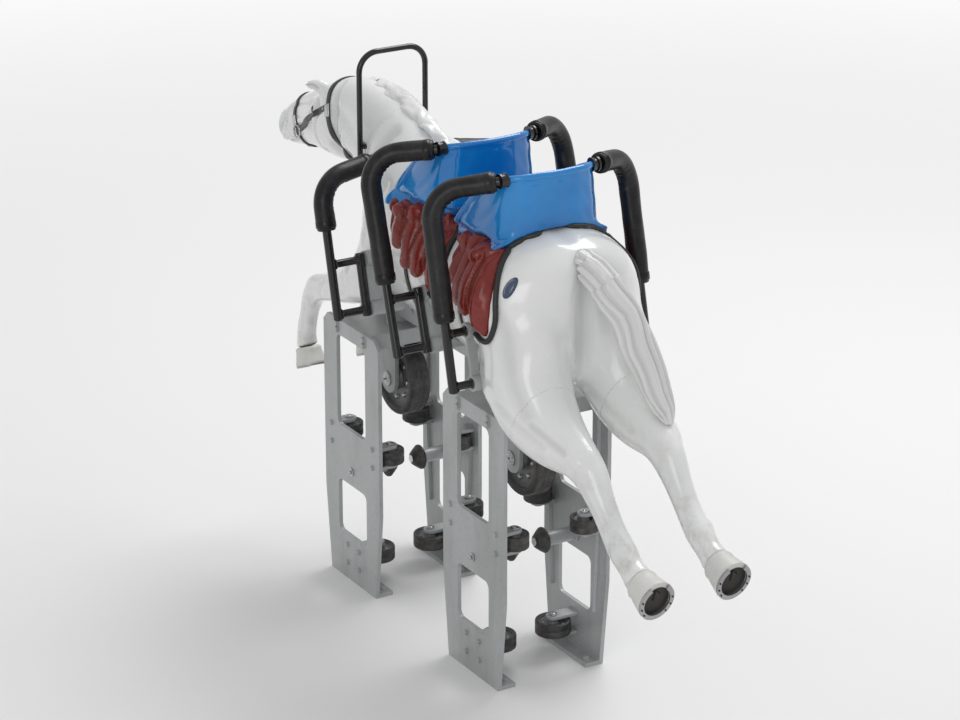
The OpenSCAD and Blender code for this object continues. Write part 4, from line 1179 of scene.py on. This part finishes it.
def bolt(bm, place, way, d, material=0, turn=0.3):
    """A hexagon head with its chamfer, on a washer, standing on a surface. d is the thread, in metres."""
    at = facing(place, way) @ Matrix.Rotation(turn, 4, "Z")
    washer = [(0.5, 0), (1.05, 0), (1.08, 0.05), (1.08, 0.14), (1.0, 0.18), (0.5, 0.18)]
    turned(bm, [(d * r, d * h) for r, h in washer], at, 20, material)
    for radius, depth, middle in ((0.92, 0.5, 0.42), (0.74, 0.12, 0.73)):
        made = bmesh.ops.create_cone(bm, cap_ends=True, segments=6, radius1=d * 0.92, radius2=d * radius,
                                     depth=d * depth)["verts"]
        bmesh.ops.translate(bm, verts=made, vec=(0, 0, d * middle))
        bmesh.ops.transform(bm, matrix=at, verts=made)
        paint_faces(made, material)


def bent_path(a, corner, b, bend, step):
    """Points in mm along a straight, a bend of the given radius and another straight."""
    a, corner, b = np.array(a, float), np.array(corner, float), np.array(b, float)
    u, v = a - corner, b - corner
    u_l, v_l = np.linalg.norm(u), np.linalg.norm(v)
    u, v = u / u_l, v / v_l
    turn = math.acos(np.clip(u @ v, -1, 1))
    t = bend / math.tan(turn / 2)
    middle = corner + (u + v) / np.linalg.norm(u + v) * bend / math.sin(turn / 2)
    out = [corner + u * d for d in np.linspace(u_l, t, max(int((u_l - t) / step), 1) + 1)]
    start, end = corner + u * t - middle, corner + v * t - middle
    sweep = math.pi - turn
    n = max(int(bend * sweep / step), 6)
    for k in range(1, n):
        f = k / n
        out.append(middle + (start * math.sin((1 - f) * sweep) + end * math.sin(f * sweep)) / math.sin(sweep))
    out += [corner + v * d for d in np.linspace(t, v_l, max(int((v_l - t) / step), 1) + 1)]
    return out


tube_black = weathered("gloss black tube", (0.010, 0.010, 0.011), (0.10, 0.075, 0.055), 0.28, 0.16, 0.25,
                       coat=0.5, coat_rough=0.07, specular=0.3)
for name in ("front_guards", "middle_guards", "rear_guards", "neck_hoop"):
    cad[name].data.materials.clear()
    cad[name].data.materials.append(tube_black)
# A guard's places at its seat end, bend and foot, its sleeve's length below the bend, how far out its
# rungs' inner ends lie, and whether an inner upright joins them
Guard = namedtuple("Guard", "end bend foot sleeve inner upright")
GUARDS = [
    Guard((1450, 118, 1282), (1412, 300, 1264), (1322, 300, 892.5), 130, 210, True),
    Guard((1036, 147, 1434), (1150, 300, 1412), (990, 300, 892.5), 330, 210, True),
    Guard((718, 147, 1434), (818, 300, 1402), (694, 300, 892.5), 330, 244, False),
]
RUNGS = (905, 1040)


def guard_at(guard, z):
    """The place on a guard's long bar at a height."""
    bend, foot = np.array(guard.bend, float), np.array(guard.foot, float)
    return bend + (foot - bend) * (bend[2] - z) / (bend[2] - foot[2])


def mirrored(place, side):
    return station(place[0], side * place[1], place[2])


bm = bmesh.new()
bead = [(0.0108, -0.0022), (0.0142, -0.0012), (0.0150, 0.0006), (0.0132, 0.0024), (0.0108, 0.0036)]
for guard in GUARDS:
    for side in (1, -1):
        for z in RUNGS:
            p = guard_at(guard, z)
            inner_end = guard.inner + (11.5 if guard.upright else 0)
            turned(bm, bead, facing(station(p[0], side * 287.5, z), (0, -side, 0)), 20)
            turned(bm, bead, facing(station(p[0], side * inner_end, z), (0, side, 0)), 20)
        turned(bm, [(0, -0.001), (0.0118, -0.001), (0.0128, 0.0006), (0.0125, 0.004)],
               facing(mirrored(guard.foot, side), (0, 0, 1)), 20)
        if guard.upright:
            lean = (guard_at(guard, RUNGS[1]) - guard_at(guard, RUNGS[0])) / 1000
            for z, sign in ((RUNGS[1], 1), (RUNGS[0], -1)):
                p = guard_at(guard, z)
                way = Vector(lean).normalized() * sign
                top = station(p[0], side * guard.inner, z) + way * 0.016
                turned(bm, [(0.0125, -0.003), (0.0129, 0), (0.0118, 0.0018), (0.006, 0.0030), (0, 0.0033)],
                       facing(top, way), 20)
        # Boss behind the end flange, down to the seat's shell or the neck
        reach = 0.013 if guard is GUARDS[0] else 0.019
        turned(bm, [(0, 0.0026), (0.0140, 0.0026), (0.0153, 0.0012), (0.0156, -0.003), (0.0168, -reach * 0.6),
                    (0.0195, -reach), (0, -reach)], facing(mirrored(guard.end, side), (0, side, 0)), 28)
guard_trim = link_piece("guard_bar_welds", bm, tube_black)
guard_trim.data.polygons.foreach_set("use_smooth", [p.area < 2e-5 for p in guard_trim.data.polygons])

# Feet of the neck hoop: the tube's ends are held by two clamps each, bolted to the neck
HOOP_X, HOOP_Z = 1547, 1262
bm = bmesh.new()
for side in (1, -1):
    out_at = abs(side_hit(horse_skin, HOOP_X, side, HOOP_Z)[0].y) * 1000 + 1
    for z in (HOOP_Z, HOOP_Z + 36):
        for dx in (17, -17):
            at, out = side_hit(head_skin, HOOP_X + dx, side, z)
            if at is None or abs(at.y) < 0.05:
                at, out = side_hit(horse_skin, HOOP_X + dx, side, z)
            bolt(bm, at + out * 0.0005, out, 0.0055)
        band = [station(HOOP_X + 13 * math.cos(a), side * (out_at + 14.5 * math.sin(a)), z)
                for a in np.linspace(0, math.pi, 15)]
        band = [band[0] + Vector((0.011, 0, 0))] + band + [band[-1] - Vector((0.011, 0, 0))]
        drawn_bar(bm, band, (0.0075, 0.0016), 8, side_hint=(0, 0, 1))
hoop_feet = link_piece("hoop_feet", bm, tube_black, smooth=False)


# Guard pads. Thick black foam sleeves with a tough skin are drawn over the guard bars. They crease
# where the tube bends, have a glued seam along the underside, and are taped at their ends.
pad_skin = weathered("black foam skin", leather_colour((0.009, 0.009, 0.010), (0.026, 0.026, 0.027)),
                     (0.09, 0.087, 0.08), 0.28, 0.34, 0.8, crease="crease", coat=0.1, coat_rough=0.22,
                     specular=0.25)
tape = weathered("black end tape", (0.008, 0.008, 0.009), (0.08, 0.075, 0.07), 0.3, 0.22, 0.5, specular=0.3)


def sleeve_ends(guard):
    """Where a sleeve starts beside the seat, where its bar bends, and where it ends below, in mm."""
    end, bend = np.array(guard.end, float), np.array(guard.bend, float)
    return end + (bend - end) * 0.06, bend, guard_at(guard, bend[2] - guard.sleeve)


bm = bmesh.new()
layer = bm.verts.layers.float.new("crease")
AROUND = 30
for number, guard in enumerate(GUARDS):
    for side in (1, -1):
        first, bend, low = sleeve_ends(guard)
        path = [mirrored(p, side) for p in bent_path(first, bend, low, 85, 5.5)]
        gone = [0.0]
        for p, q in zip(path[:-1], path[1:]):
            gone.append(gone[-1] + (q - p).length)
        inside = (mirrored(guard.end, side) + mirrored(low, side)) / 2
        made = drawn_bar(bm, path, (0.0275, 0.0275), AROUND, side_hint=(1, 0, 0))
        bend_at = mirrored(bend, side)
        for i, p in enumerate(path):
            near_bend = max(0.0, 1 - (p - bend_at).length / 0.105)
            towards = (inside - p).normalized()
            s = gone[i]
            taper = min(1.0, 0.90 + 0.10 * min(s, gone[-1] - s) / 0.012)
            swell = 1 + 0.014 * math.sin(s * 31 + number) + 0.010 * math.sin(s * 74 + 2.0 * number + side)
            for v in made[i * AROUND:(i + 1) * AROUND]:
                out = (v.co - p).normalized()
                facing_in = max(0.0, out.dot(towards))
                ridge = 0.5 + 0.5 * math.sin(s * 2 * math.pi / 0.0165 + 1.2 * math.sin(s * 90 + number))
                crush = near_bend * facing_in ** 1.5 * (0.16 * ridge ** 2 - 0.02)
                to_seam = out.dot(Vector((0, -side, -0.35)).normalized())
                seam = math.exp(-((to_seam - 1) / 0.012) ** 2) * 0.045
                dent = 0.02 * max(0.0, math.sin(s * 47 + 5 * out.x + number)) * (1 - near_bend)
                v.co = p + (v.co - p) * (taper * swell - crush - seam - dent)
                v[layer] = min(crush * 4 + seam * 6, 1)
caps = [f for f in bm.faces if len(f.verts) > 8]
for cap in caps:
    bmesh.ops.inset_region(bm, faces=[cap], thickness=0.003, depth=0.0015)
    bmesh.ops.inset_region(bm, faces=[cap], thickness=0.0085, depth=0.0)
    bmesh.ops.inset_region(bm, faces=[cap], thickness=0.0005, depth=-0.006)
pads = link_piece("foam_guard_sleeves", bm, pad_skin)
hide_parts("guard_pads")
bm = bmesh.new()
for guard in GUARDS:
    for side in (1, -1):
        first, bend, low = sleeve_ends(guard)
        for p in (first, low):
            way = Vector((bend - p) / np.linalg.norm(bend - p))
            way.y *= side
            place = mirrored(p, side) + way * 0.006
            turned(bm, [(0.0262, 0), (0.0284, 0.001), (0.0287, 0.010), (0.0285, 0.019), (0.0276, 0.021)],
                   facing(place, way), 30)
bands = link_piece("sleeve_end_tape", bm, tape)


# Guard brackets. Steel standoffs are welded to plates bedded in the horse's flanks and bolted to
# the rungs' inner ends. They are painted like the chassis, with a bolt through each boss.
chassis_grey = weathered("satin light grey chassis paint", (0.40, 0.415, 0.42), (0.10, 0.085, 0.07), 0.55,
                         0.34, 0.5, coat=0.25, coat_rough=0.2)


def edged_copy(node, width, segments=2):
    """A merged copy of a rigid node whose sharp edges are rounded, as ground and painted steel is."""
    bm = joined_copy(node)
    bmesh.ops.dissolve_limit(bm, angle_limit=0.01, verts=bm.verts, edges=bm.edges)
    sharp = [e for e in bm.edges if len(e.link_faces) == 2 and e.calc_face_angle(0) > 0.5]
    bmesh.ops.bevel(bm, geom=sharp, offset=width, offset_type="OFFSET", segments=segments, profile=0.5,
                    affect="EDGES", clamp_overlap=True, material=-1)
    return bm


def flat_faced(piece, largest):
    """Shades only faces below a size smooth: the rounded edges and not the flats between them."""
    piece.data.polygons.foreach_set("use_smooth", [p.area < largest for p in piece.data.polygons])
    return piece


bm = edged_copy("guard_brackets", 0.0015)
for guard in (g for g in GUARDS if g.upright):
    for side in (1, -1):
        for z in RUNGS:
            p = guard_at(guard, z)
            for dz in (-11, 11):
                bolt(bm, station(p[0] + 14, side * (guard.inner - 12.3), z + dz), (0, side, 0), 0.005)
brackets = flat_faced(link_piece("bolted_guard_brackets", bm, chassis_grey), 1e-4)
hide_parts("guard_brackets")


# Chassis beam. One welded box section under the belly with end plates, a thrust boss over each
# bogie, clamp bolts into the horse's steel inserts, and four holes for a lift dog underneath.
bm = edged_copy("chassis_beam", 0.0018, 3)
for x in (644, 1591):
    plate = bmesh.ops.create_cube(bm, size=1)["verts"]
    bmesh.ops.scale(bm, verts=plate, vec=(0.006, 0.0685, 0.0585))
    bmesh.ops.translate(bm, verts=plate, vec=station(x, 0, 842))
    bmesh.ops.bevel(bm, geom=list({e for v in plate for e in v.link_edges}), offset=0.0015, segments=2,
                    profile=0.5, affect="EDGES", material=-1)
for x in (700, 940, 1060, 1260, 1380, 1570):
    for side in (1, -1):
        bolt(bm, station(x, side * 35.2, 850), (0, side, 0), 0.008)
beam = flat_faced(link_piece("welded_chassis_beam", bm, chassis_grey), 4e-5)
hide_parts("chassis_beam")


# Kingpins. Turned steel pins pressed into the beam, each with a thrust washer, a split pin and a
# grease nipple in its lower end.
BOGIES = (("rear", 820), ("front", 1500))
PIN_END = 738.7
bm = edged_copy("kingpins", 0.0012)
for _, x in BOGIES:
    end = Matrix.Translation(station(x, 0, PIN_END))
    turned(bm, [(0, -0.004), (0.010, -0.004), (0.0115, -0.0025), (0.0115, 0.001), (0, 0.001)], end, 24)
    turned(bm, [(0, -0.014), (0.0022, -0.014), (0.0030, -0.012), (0.0030, -0.010), (0.0020, -0.009),
                (0.0040, -0.004), (0, -0.004)], end, 12)
    ring = [station(x + 27 * math.cos(a), 27 * math.sin(a), PIN_END - 0.6)
            for a in np.linspace(0.25, 2 * math.pi - 0.25, 40)]
    drawn_bar(bm, ring, (0.0016, 0.0016), 6, side_hint=(0, 0, 1))
pins = flat_faced(link_piece("greased_kingpins", bm, steel), 4e-5)
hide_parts("kingpins")


# Bogies. Each has two profiled side plates with folded feet, a crosshead block with the wheel
# fork, and lugs for the guide wheels, all welded and painted, then bolted through with pins.
def weld_bead(bm, path, half_wide, ripple, rhythm, half_high):
    """A fillet weld's bead along a path, rippled as it was laid."""
    sizes = [(half_wide + ripple * math.sin(k * rhythm), half_high) for k in range(len(path))]
    drawn_bar(bm, path, sizes, 8)


# Bolts through a side plate: how far to each side of the bogie's middle, at which heights, thread
PLATE_BOLTS = ((78, (758, 776), 0.010), (120, (402, 458), 0.008), (34, (52, 108), 0.008))
for bogie, x in BOGIES:
    body = bogie + "_bogie"
    bm = edged_copy(body + "_side_plates", 0.0015)
    for side in (1, -1):
        for out, heights, thread in PLATE_BOLTS:
            for dx in (-out, out):
                for z in heights:
                    bolt(bm, station(x + dx, side * 168.2, z), (0, side, 0), thread)
        # Stiffening ribs inside each leg, and the weld bead along the folded foot
        for dx in (-122, 122):
            for low, high in ((486, 736), (150, 392)):
                lean = 0 if low > 300 else (14 if dx > 0 else -14)
                rib = [station(x + dx - lean, side * 155.5, low), station(x + dx, side * 155.5, high)]
                drawn_bar(bm, rib, (0.0030, 0.0085), 4, side_hint=(1, 0, 0))
        weld_bead(bm, [station(x + dx, side * 155.0, 12.6) for dx in range(-128, 129, 8)],
                  0.0026, 0.0006, 1.9, 0.0024)
        for dx in (-104, 104):
            bolt(bm, station(x + dx, side * 132, 12), (0, 0, 1), 0.010)
    plates = flat_faced(link_piece(body + "_plates", bm, chassis_grey, body), 3e-5)
    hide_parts(body + "_side_plates")
    bm = edged_copy(body + "_crosshead", 0.0018)
    for side in (1, -1):
        for dx in (-1, 1):
            gusset = [bm.verts.new(station(x + dx * a, side * 44, z))
                      for a, z in ((42, 742), (86, 742), (42, 690))]
            face = bm.faces.new(gusset)
            grown = bmesh.ops.extrude_face_region(bm, geom=[face])["geom"]
            bmesh.ops.translate(bm, verts=[g for g in grown if isinstance(g, bmesh.types.BMVert)],
                                vec=(0, side * -0.006, 0))
        weld_bead(bm, [station(x + dx, side * 50, 742.6) for dx in range(-40, 41, 5)],
                  0.0026, 0.0005, 2.3, 0.0022)
    turned(bm, [(0.0235, 0), (0.044, 0), (0.0455, 0.0002), (0.0455, -0.0012), (0.0235, -0.0012)],
           Matrix.Translation(station(x, 0, 790.2)), 40)
    bmesh.ops.recalc_face_normals(bm, faces=bm.faces)
    block = flat_faced(link_piece(body + "_crosshead_block", bm, chassis_grey, body), 3e-5)
    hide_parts(body + "_crosshead")
    bm = edged_copy(body + "_wheel_brackets", 0.0014)
    for side in (1, -1):
        for dx, z in ((-120, 430), (120, 430), (0, 80)):
            for weld_z in (z + 33.6, z - 33.6):
                weld_bead(bm, [station(x + dx + a, side * 154.8, weld_z) for a in range(-18, 19, 4)],
                          0.0022, 0.0005, 2.1, 0.0020)
        turned(bm, [(0.0200, 0.0), (0.0228, 0.0002), (0.0236, 0.0016), (0.0222, 0.0034), (0.0200, 0.0042)],
               facing(station(x, side * 155.2, 346), (0, -side, 0)), 28)
    lugs = flat_faced(link_piece(body + "_wheel_lugs", bm, chassis_grey, body), 3e-5)
    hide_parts(body + "_wheel_brackets")
    bm = edged_copy(body + "_axles", 0.0008)
    for side in (1, -1):
        for r, at, way in ((0.0130, station(x, side * 53.3, 610), (0, side, 0)),
                           (0.0075, station(x, side * 178.0, 346), (0, side, 0))):
            turned(bm, [(0, 0.0012), (r * 0.72, 0.0012), (r * 0.8, 0.0004), (r * 0.8, -0.002), (0, -0.002)],
                   facing(at, way), 24)
        nipple = facing(station(x, side * 54.3, 610), (0, side, 0))
        turned(bm, [(0, 0.0105), (0.0020, 0.0105), (0.0028, 0.0088), (0.0028, 0.0070), (0.0020, 0.0060),
                    (0.0036, 0.0012), (0.0036, -0.0006), (0, -0.0006)], nipple, 12)
        for dx, y, z in ((-120, 110, 430), (120, 110, 430), (0, 88, 80)):
            top = station(x + dx, side * y, z + 37.3)
            turned(bm, [(0, 0.0012), (0.0058, 0.0012), (0.0065, 0.0004), (0.0065, -0.002), (0, -0.002)],
                   Matrix.Translation(top), 20)
            circlip = [top + Vector((0.010 * math.cos(a), 0.010 * math.sin(a), -0.0016))
                       for a in np.linspace(0.5, 2 * math.pi - 0.5, 22)]
            drawn_bar(bm, circlip, (0.0009, 0.0009), 6, side_hint=(0, 0, 1))
    turned_pins = flat_faced(link_piece(body + "_turned_pins", bm, steel, body), 2e-5)
    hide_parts(body + "_axles")


# Wheels. Each is a steel hub with sealed bearings and a dished web, bonded to a polyurethane
# tread: one running wheel a bogie on the rail's crown, and guide wheels, rollers round the tubes.
def tread_colour(nodes, links, place):
    """Dark polyurethane, greyed by dust where it runs."""
    dust = ranged(nodes, links, noise(nodes, links, place, 45.0, 5.0, 0.7), 0.42, 0.72)
    return mixed(nodes, links, (0.020, 0.020, 0.022, 1), (0.075, 0.070, 0.064, 1), dust)


tread = weathered("polyurethane tread", tread_colour, (0.14, 0.12, 0.10), 0.5, 0.46, 0.8)
hub_paint = weathered("painted wheel hub", (0.115, 0.12, 0.125), (0.16, 0.12, 0.09), 0.6, 0.36, 0.4, coat=0.2)
# Each wheel's name, place, axis, radius, half width and bore
WHEELS = [(b + "_running_wheel", (x, 0, 610), (0, 1, 0), 110, 32, 15.05) for b, x in BOGIES]
for b, x in BOGIES:
    for label, side in (("left", 1), ("right", -1)):
        WHEELS += [(f"{b}_{label}_side_wheel_1", (x - 120, side * 110, 430), (0, 0, 1), 40, 20, 8.05),
                   (f"{b}_{label}_side_wheel_2", (x + 120, side * 110, 430), (0, 0, 1), 40, 20, 8.05),
                   (f"{b}_{label}_low_wheel", (x, side * 88, 80), (0, 0, 1), 50, 20, 8.05)]
for name, at, axis, r, half, bore in WHEELS:
    bm = bmesh.new()
    place = facing(station(*at), axis, (1, 0, 0))
    running = name.endswith("running_wheel")
    edge, rim, web, hub = r * 0.085, r - r * 0.2, half * 0.56, bore + r * 0.16
    tyre_side = [(rim, half * 0.90), (rim + 1.2, half - 0.6), (r - edge - 2, half)]
    tyre_side += [(r - edge + edge * math.sin(a), half - edge + edge * math.cos(a))
                  for a in np.linspace(0, math.pi / 2, 6)]
    if running:
        tyre_side += [(r, half * 0.30), (r - 1.4, half * 0.27), (r - 1.4, half * 0.21), (r, half * 0.18)]
    else:
        tyre_side += [(r, half * 0.14), (r - 0.9, half * 0.10)]
    outline = tyre_side + [(a, -b) for a, b in tyre_side[::-1]]
    turned(bm, [(a / 1000, b / 1000) for a, b in outline], place, 48, 0)
    face = [(bore, half), (bore + 1.5, half), (bore + 2.0, half - 0.7), (hub - 1.2, half - 0.7),
            (hub - 0.6, half), (hub, half - 0.4), (hub + 1.2, web + 1.5), (hub + 3.0, web), (rim - 3.0, web),
            (rim - 1.0, web + 1.6), (rim - 0.4, half * 0.90), (rim + 0.1, half * 0.92)]
    outline = [(bore, -half)] + face + [(a, -b) for a, b in face[::-1]]
    turned(bm, [(a / 1000, b / 1000) for a, b in outline], place, 48, 1)
    count, ring_r = 8 if running else 5, (hub + rim) / 2
    for k in range(count):
        a = 2 * math.pi * k / count
        for end in (1, -1):
            spot = place @ (Vector((ring_r * math.cos(a), ring_r * math.sin(a), end * web)) / 1000)
            out = place.to_3x3() @ Vector((0, 0, end))
            bolt(bm, spot, out, 0.008 if running else 0.0032, 2, turn=0.4 * k)
    wheel = flat_faced(link_piece(name + "_tyred", bm, tread, name), 1e-4)
    wheel.data.materials.append(hub_paint)
    wheel.data.materials.append(steel)
    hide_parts(name)
# The tapered rollers below the tube
for b, x in BOGIES:
    for label, side in (("left", 1), ("right", -1)):
        name = f"{b}_{label}_up_stop_roller"
        bm = bmesh.new()
        place = facing(station(x, side * 28, 346), (0, side, 0), (1, 0, 0))
        cone = [(8.05, 0.0), (10.5, 0.0), (10.8, 0.6), (17.6, 0.6), (18.6, 0.9)]
        cone += [(19 + 17 * t, 24 * t + 1.6 * (1 - t) - 0.7 * math.sin(math.pi * t))
                 for t in np.linspace(0.02, 1, 10)]
        cone += [(36, 27.2), (35.2, 29.0), (33.6, 30.0), (13.5, 30.0), (13.0, 29.0), (10.8, 29.0),
                 (10.4, 30.0), (8.05, 30.0)]
        turned(bm, [(a / 1000, c / 1000) for a, c in cone + [cone[0]]], place, 48, 0)
        turned(bm, [(0.0084, 0.0304), (0.0084, 0.0292), (0.0128, 0.0292), (0.0124, 0.0304),
                    (0.0084, 0.0304)], place, 32, 1)
        roller = flat_faced(link_piece(name + "_coned", bm, tread, name), 1e-4)
        roller.data.materials.append(steel)
        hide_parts(name)


# Studio: a pale floor that fades to even white away from the car, soft lamps, and the camera at the
# photograph's place on the platform stairs, behind the car and above it to its left.
floor_bm = bmesh.new()
bmesh.ops.create_grid(floor_bm, x_segments=1, y_segments=1, size=30)
floor = link_piece("studio_floor", floor_bm, body=None, smooth=False)
paper, nodes, links, shader, place = new_finish("studio paper")
shader.inputs["Base Color"].default_value = (0.82, 0.82, 0.82, 1)
shader.inputs["Roughness"].default_value = 0.9
far = nodes.new("ShaderNodeVectorMath")
far.operation = "LENGTH"
links.new(place, far.inputs[0])
glow = nodes.new("ShaderNodeEmission")
glow.inputs["Color"].default_value = (0.95, 0.95, 0.95, 1)
fade = nodes.new("ShaderNodeMixShader")
ray = nodes.new("ShaderNodeLightPath")
seen = calculated(nodes, links, "MAXIMUM", ray.outputs["Is Camera Ray"], ray.outputs["Is Glossy Ray"])
links.new(calculated(nodes, links, "MULTIPLY", ranged(nodes, links, far.outputs["Value"], 1.6, 7.0), seen),
          fade.inputs["Fac"])
links.new(shader.outputs["BSDF"], fade.inputs[1])
links.new(glow.outputs["Emission"], fade.inputs[2])
links.new(fade.outputs["Shader"], nodes["Material Output"].inputs["Surface"])
floor.data.materials.append(paper)

world = bpy.data.worlds.new("studio light")
scene.world = world
world.use_nodes = True
nodes, links = world.node_tree.nodes, world.node_tree.links
background = nodes["Background"]
ray = nodes.new("ShaderNodeLightPath")
seen = calculated(nodes, links, "MAXIMUM", ray.outputs["Is Camera Ray"], ray.outputs["Is Transmission Ray"])
background.inputs["Color"].default_value = (1, 1, 1, 1)
links.new(ranged(nodes, links, seen, 0, 1, 0.62, 0.95), background.inputs["Strength"])


def soft_lamp(name, place, aim, size, power):
    """A wide lamp that looks at a point of the car."""
    light = bpy.data.lights.new(name, "AREA")
    light.shape = "RECTANGLE"
    light.size, light.size_y = size
    light.energy = power
    lamp = bpy.data.objects.new(name, light)
    scene.collection.objects.link(lamp)
    lamp.location = place
    lamp.rotation_euler = (Vector(aim) - Vector(place)).to_track_quat("-Z", "Y").to_euler()


soft_lamp("key", (1.2, -2.6, 5.2), (0, 0, 0.9), (3.5, 2.5), 165)
soft_lamp("fill", (-4.5, 4.5, 3.2), (0, 0, 0.8), (3.0, 3.0), 60)

lens = bpy.data.cameras.new("photograph view")
lens.lens = 126
lens.clip_end = 100
viewer = bpy.data.objects.new("photograph_view", lens)
scene.collection.objects.link(viewer)
viewer.location = (-7.383, 4.350, 4.10)
viewer.rotation_euler = (Vector((-0.02, 0.0, 0.80)) - viewer.location).to_track_quat("-Z", "Y").to_euler()
scene.camera = viewer

bpy.context.view_layer.update()
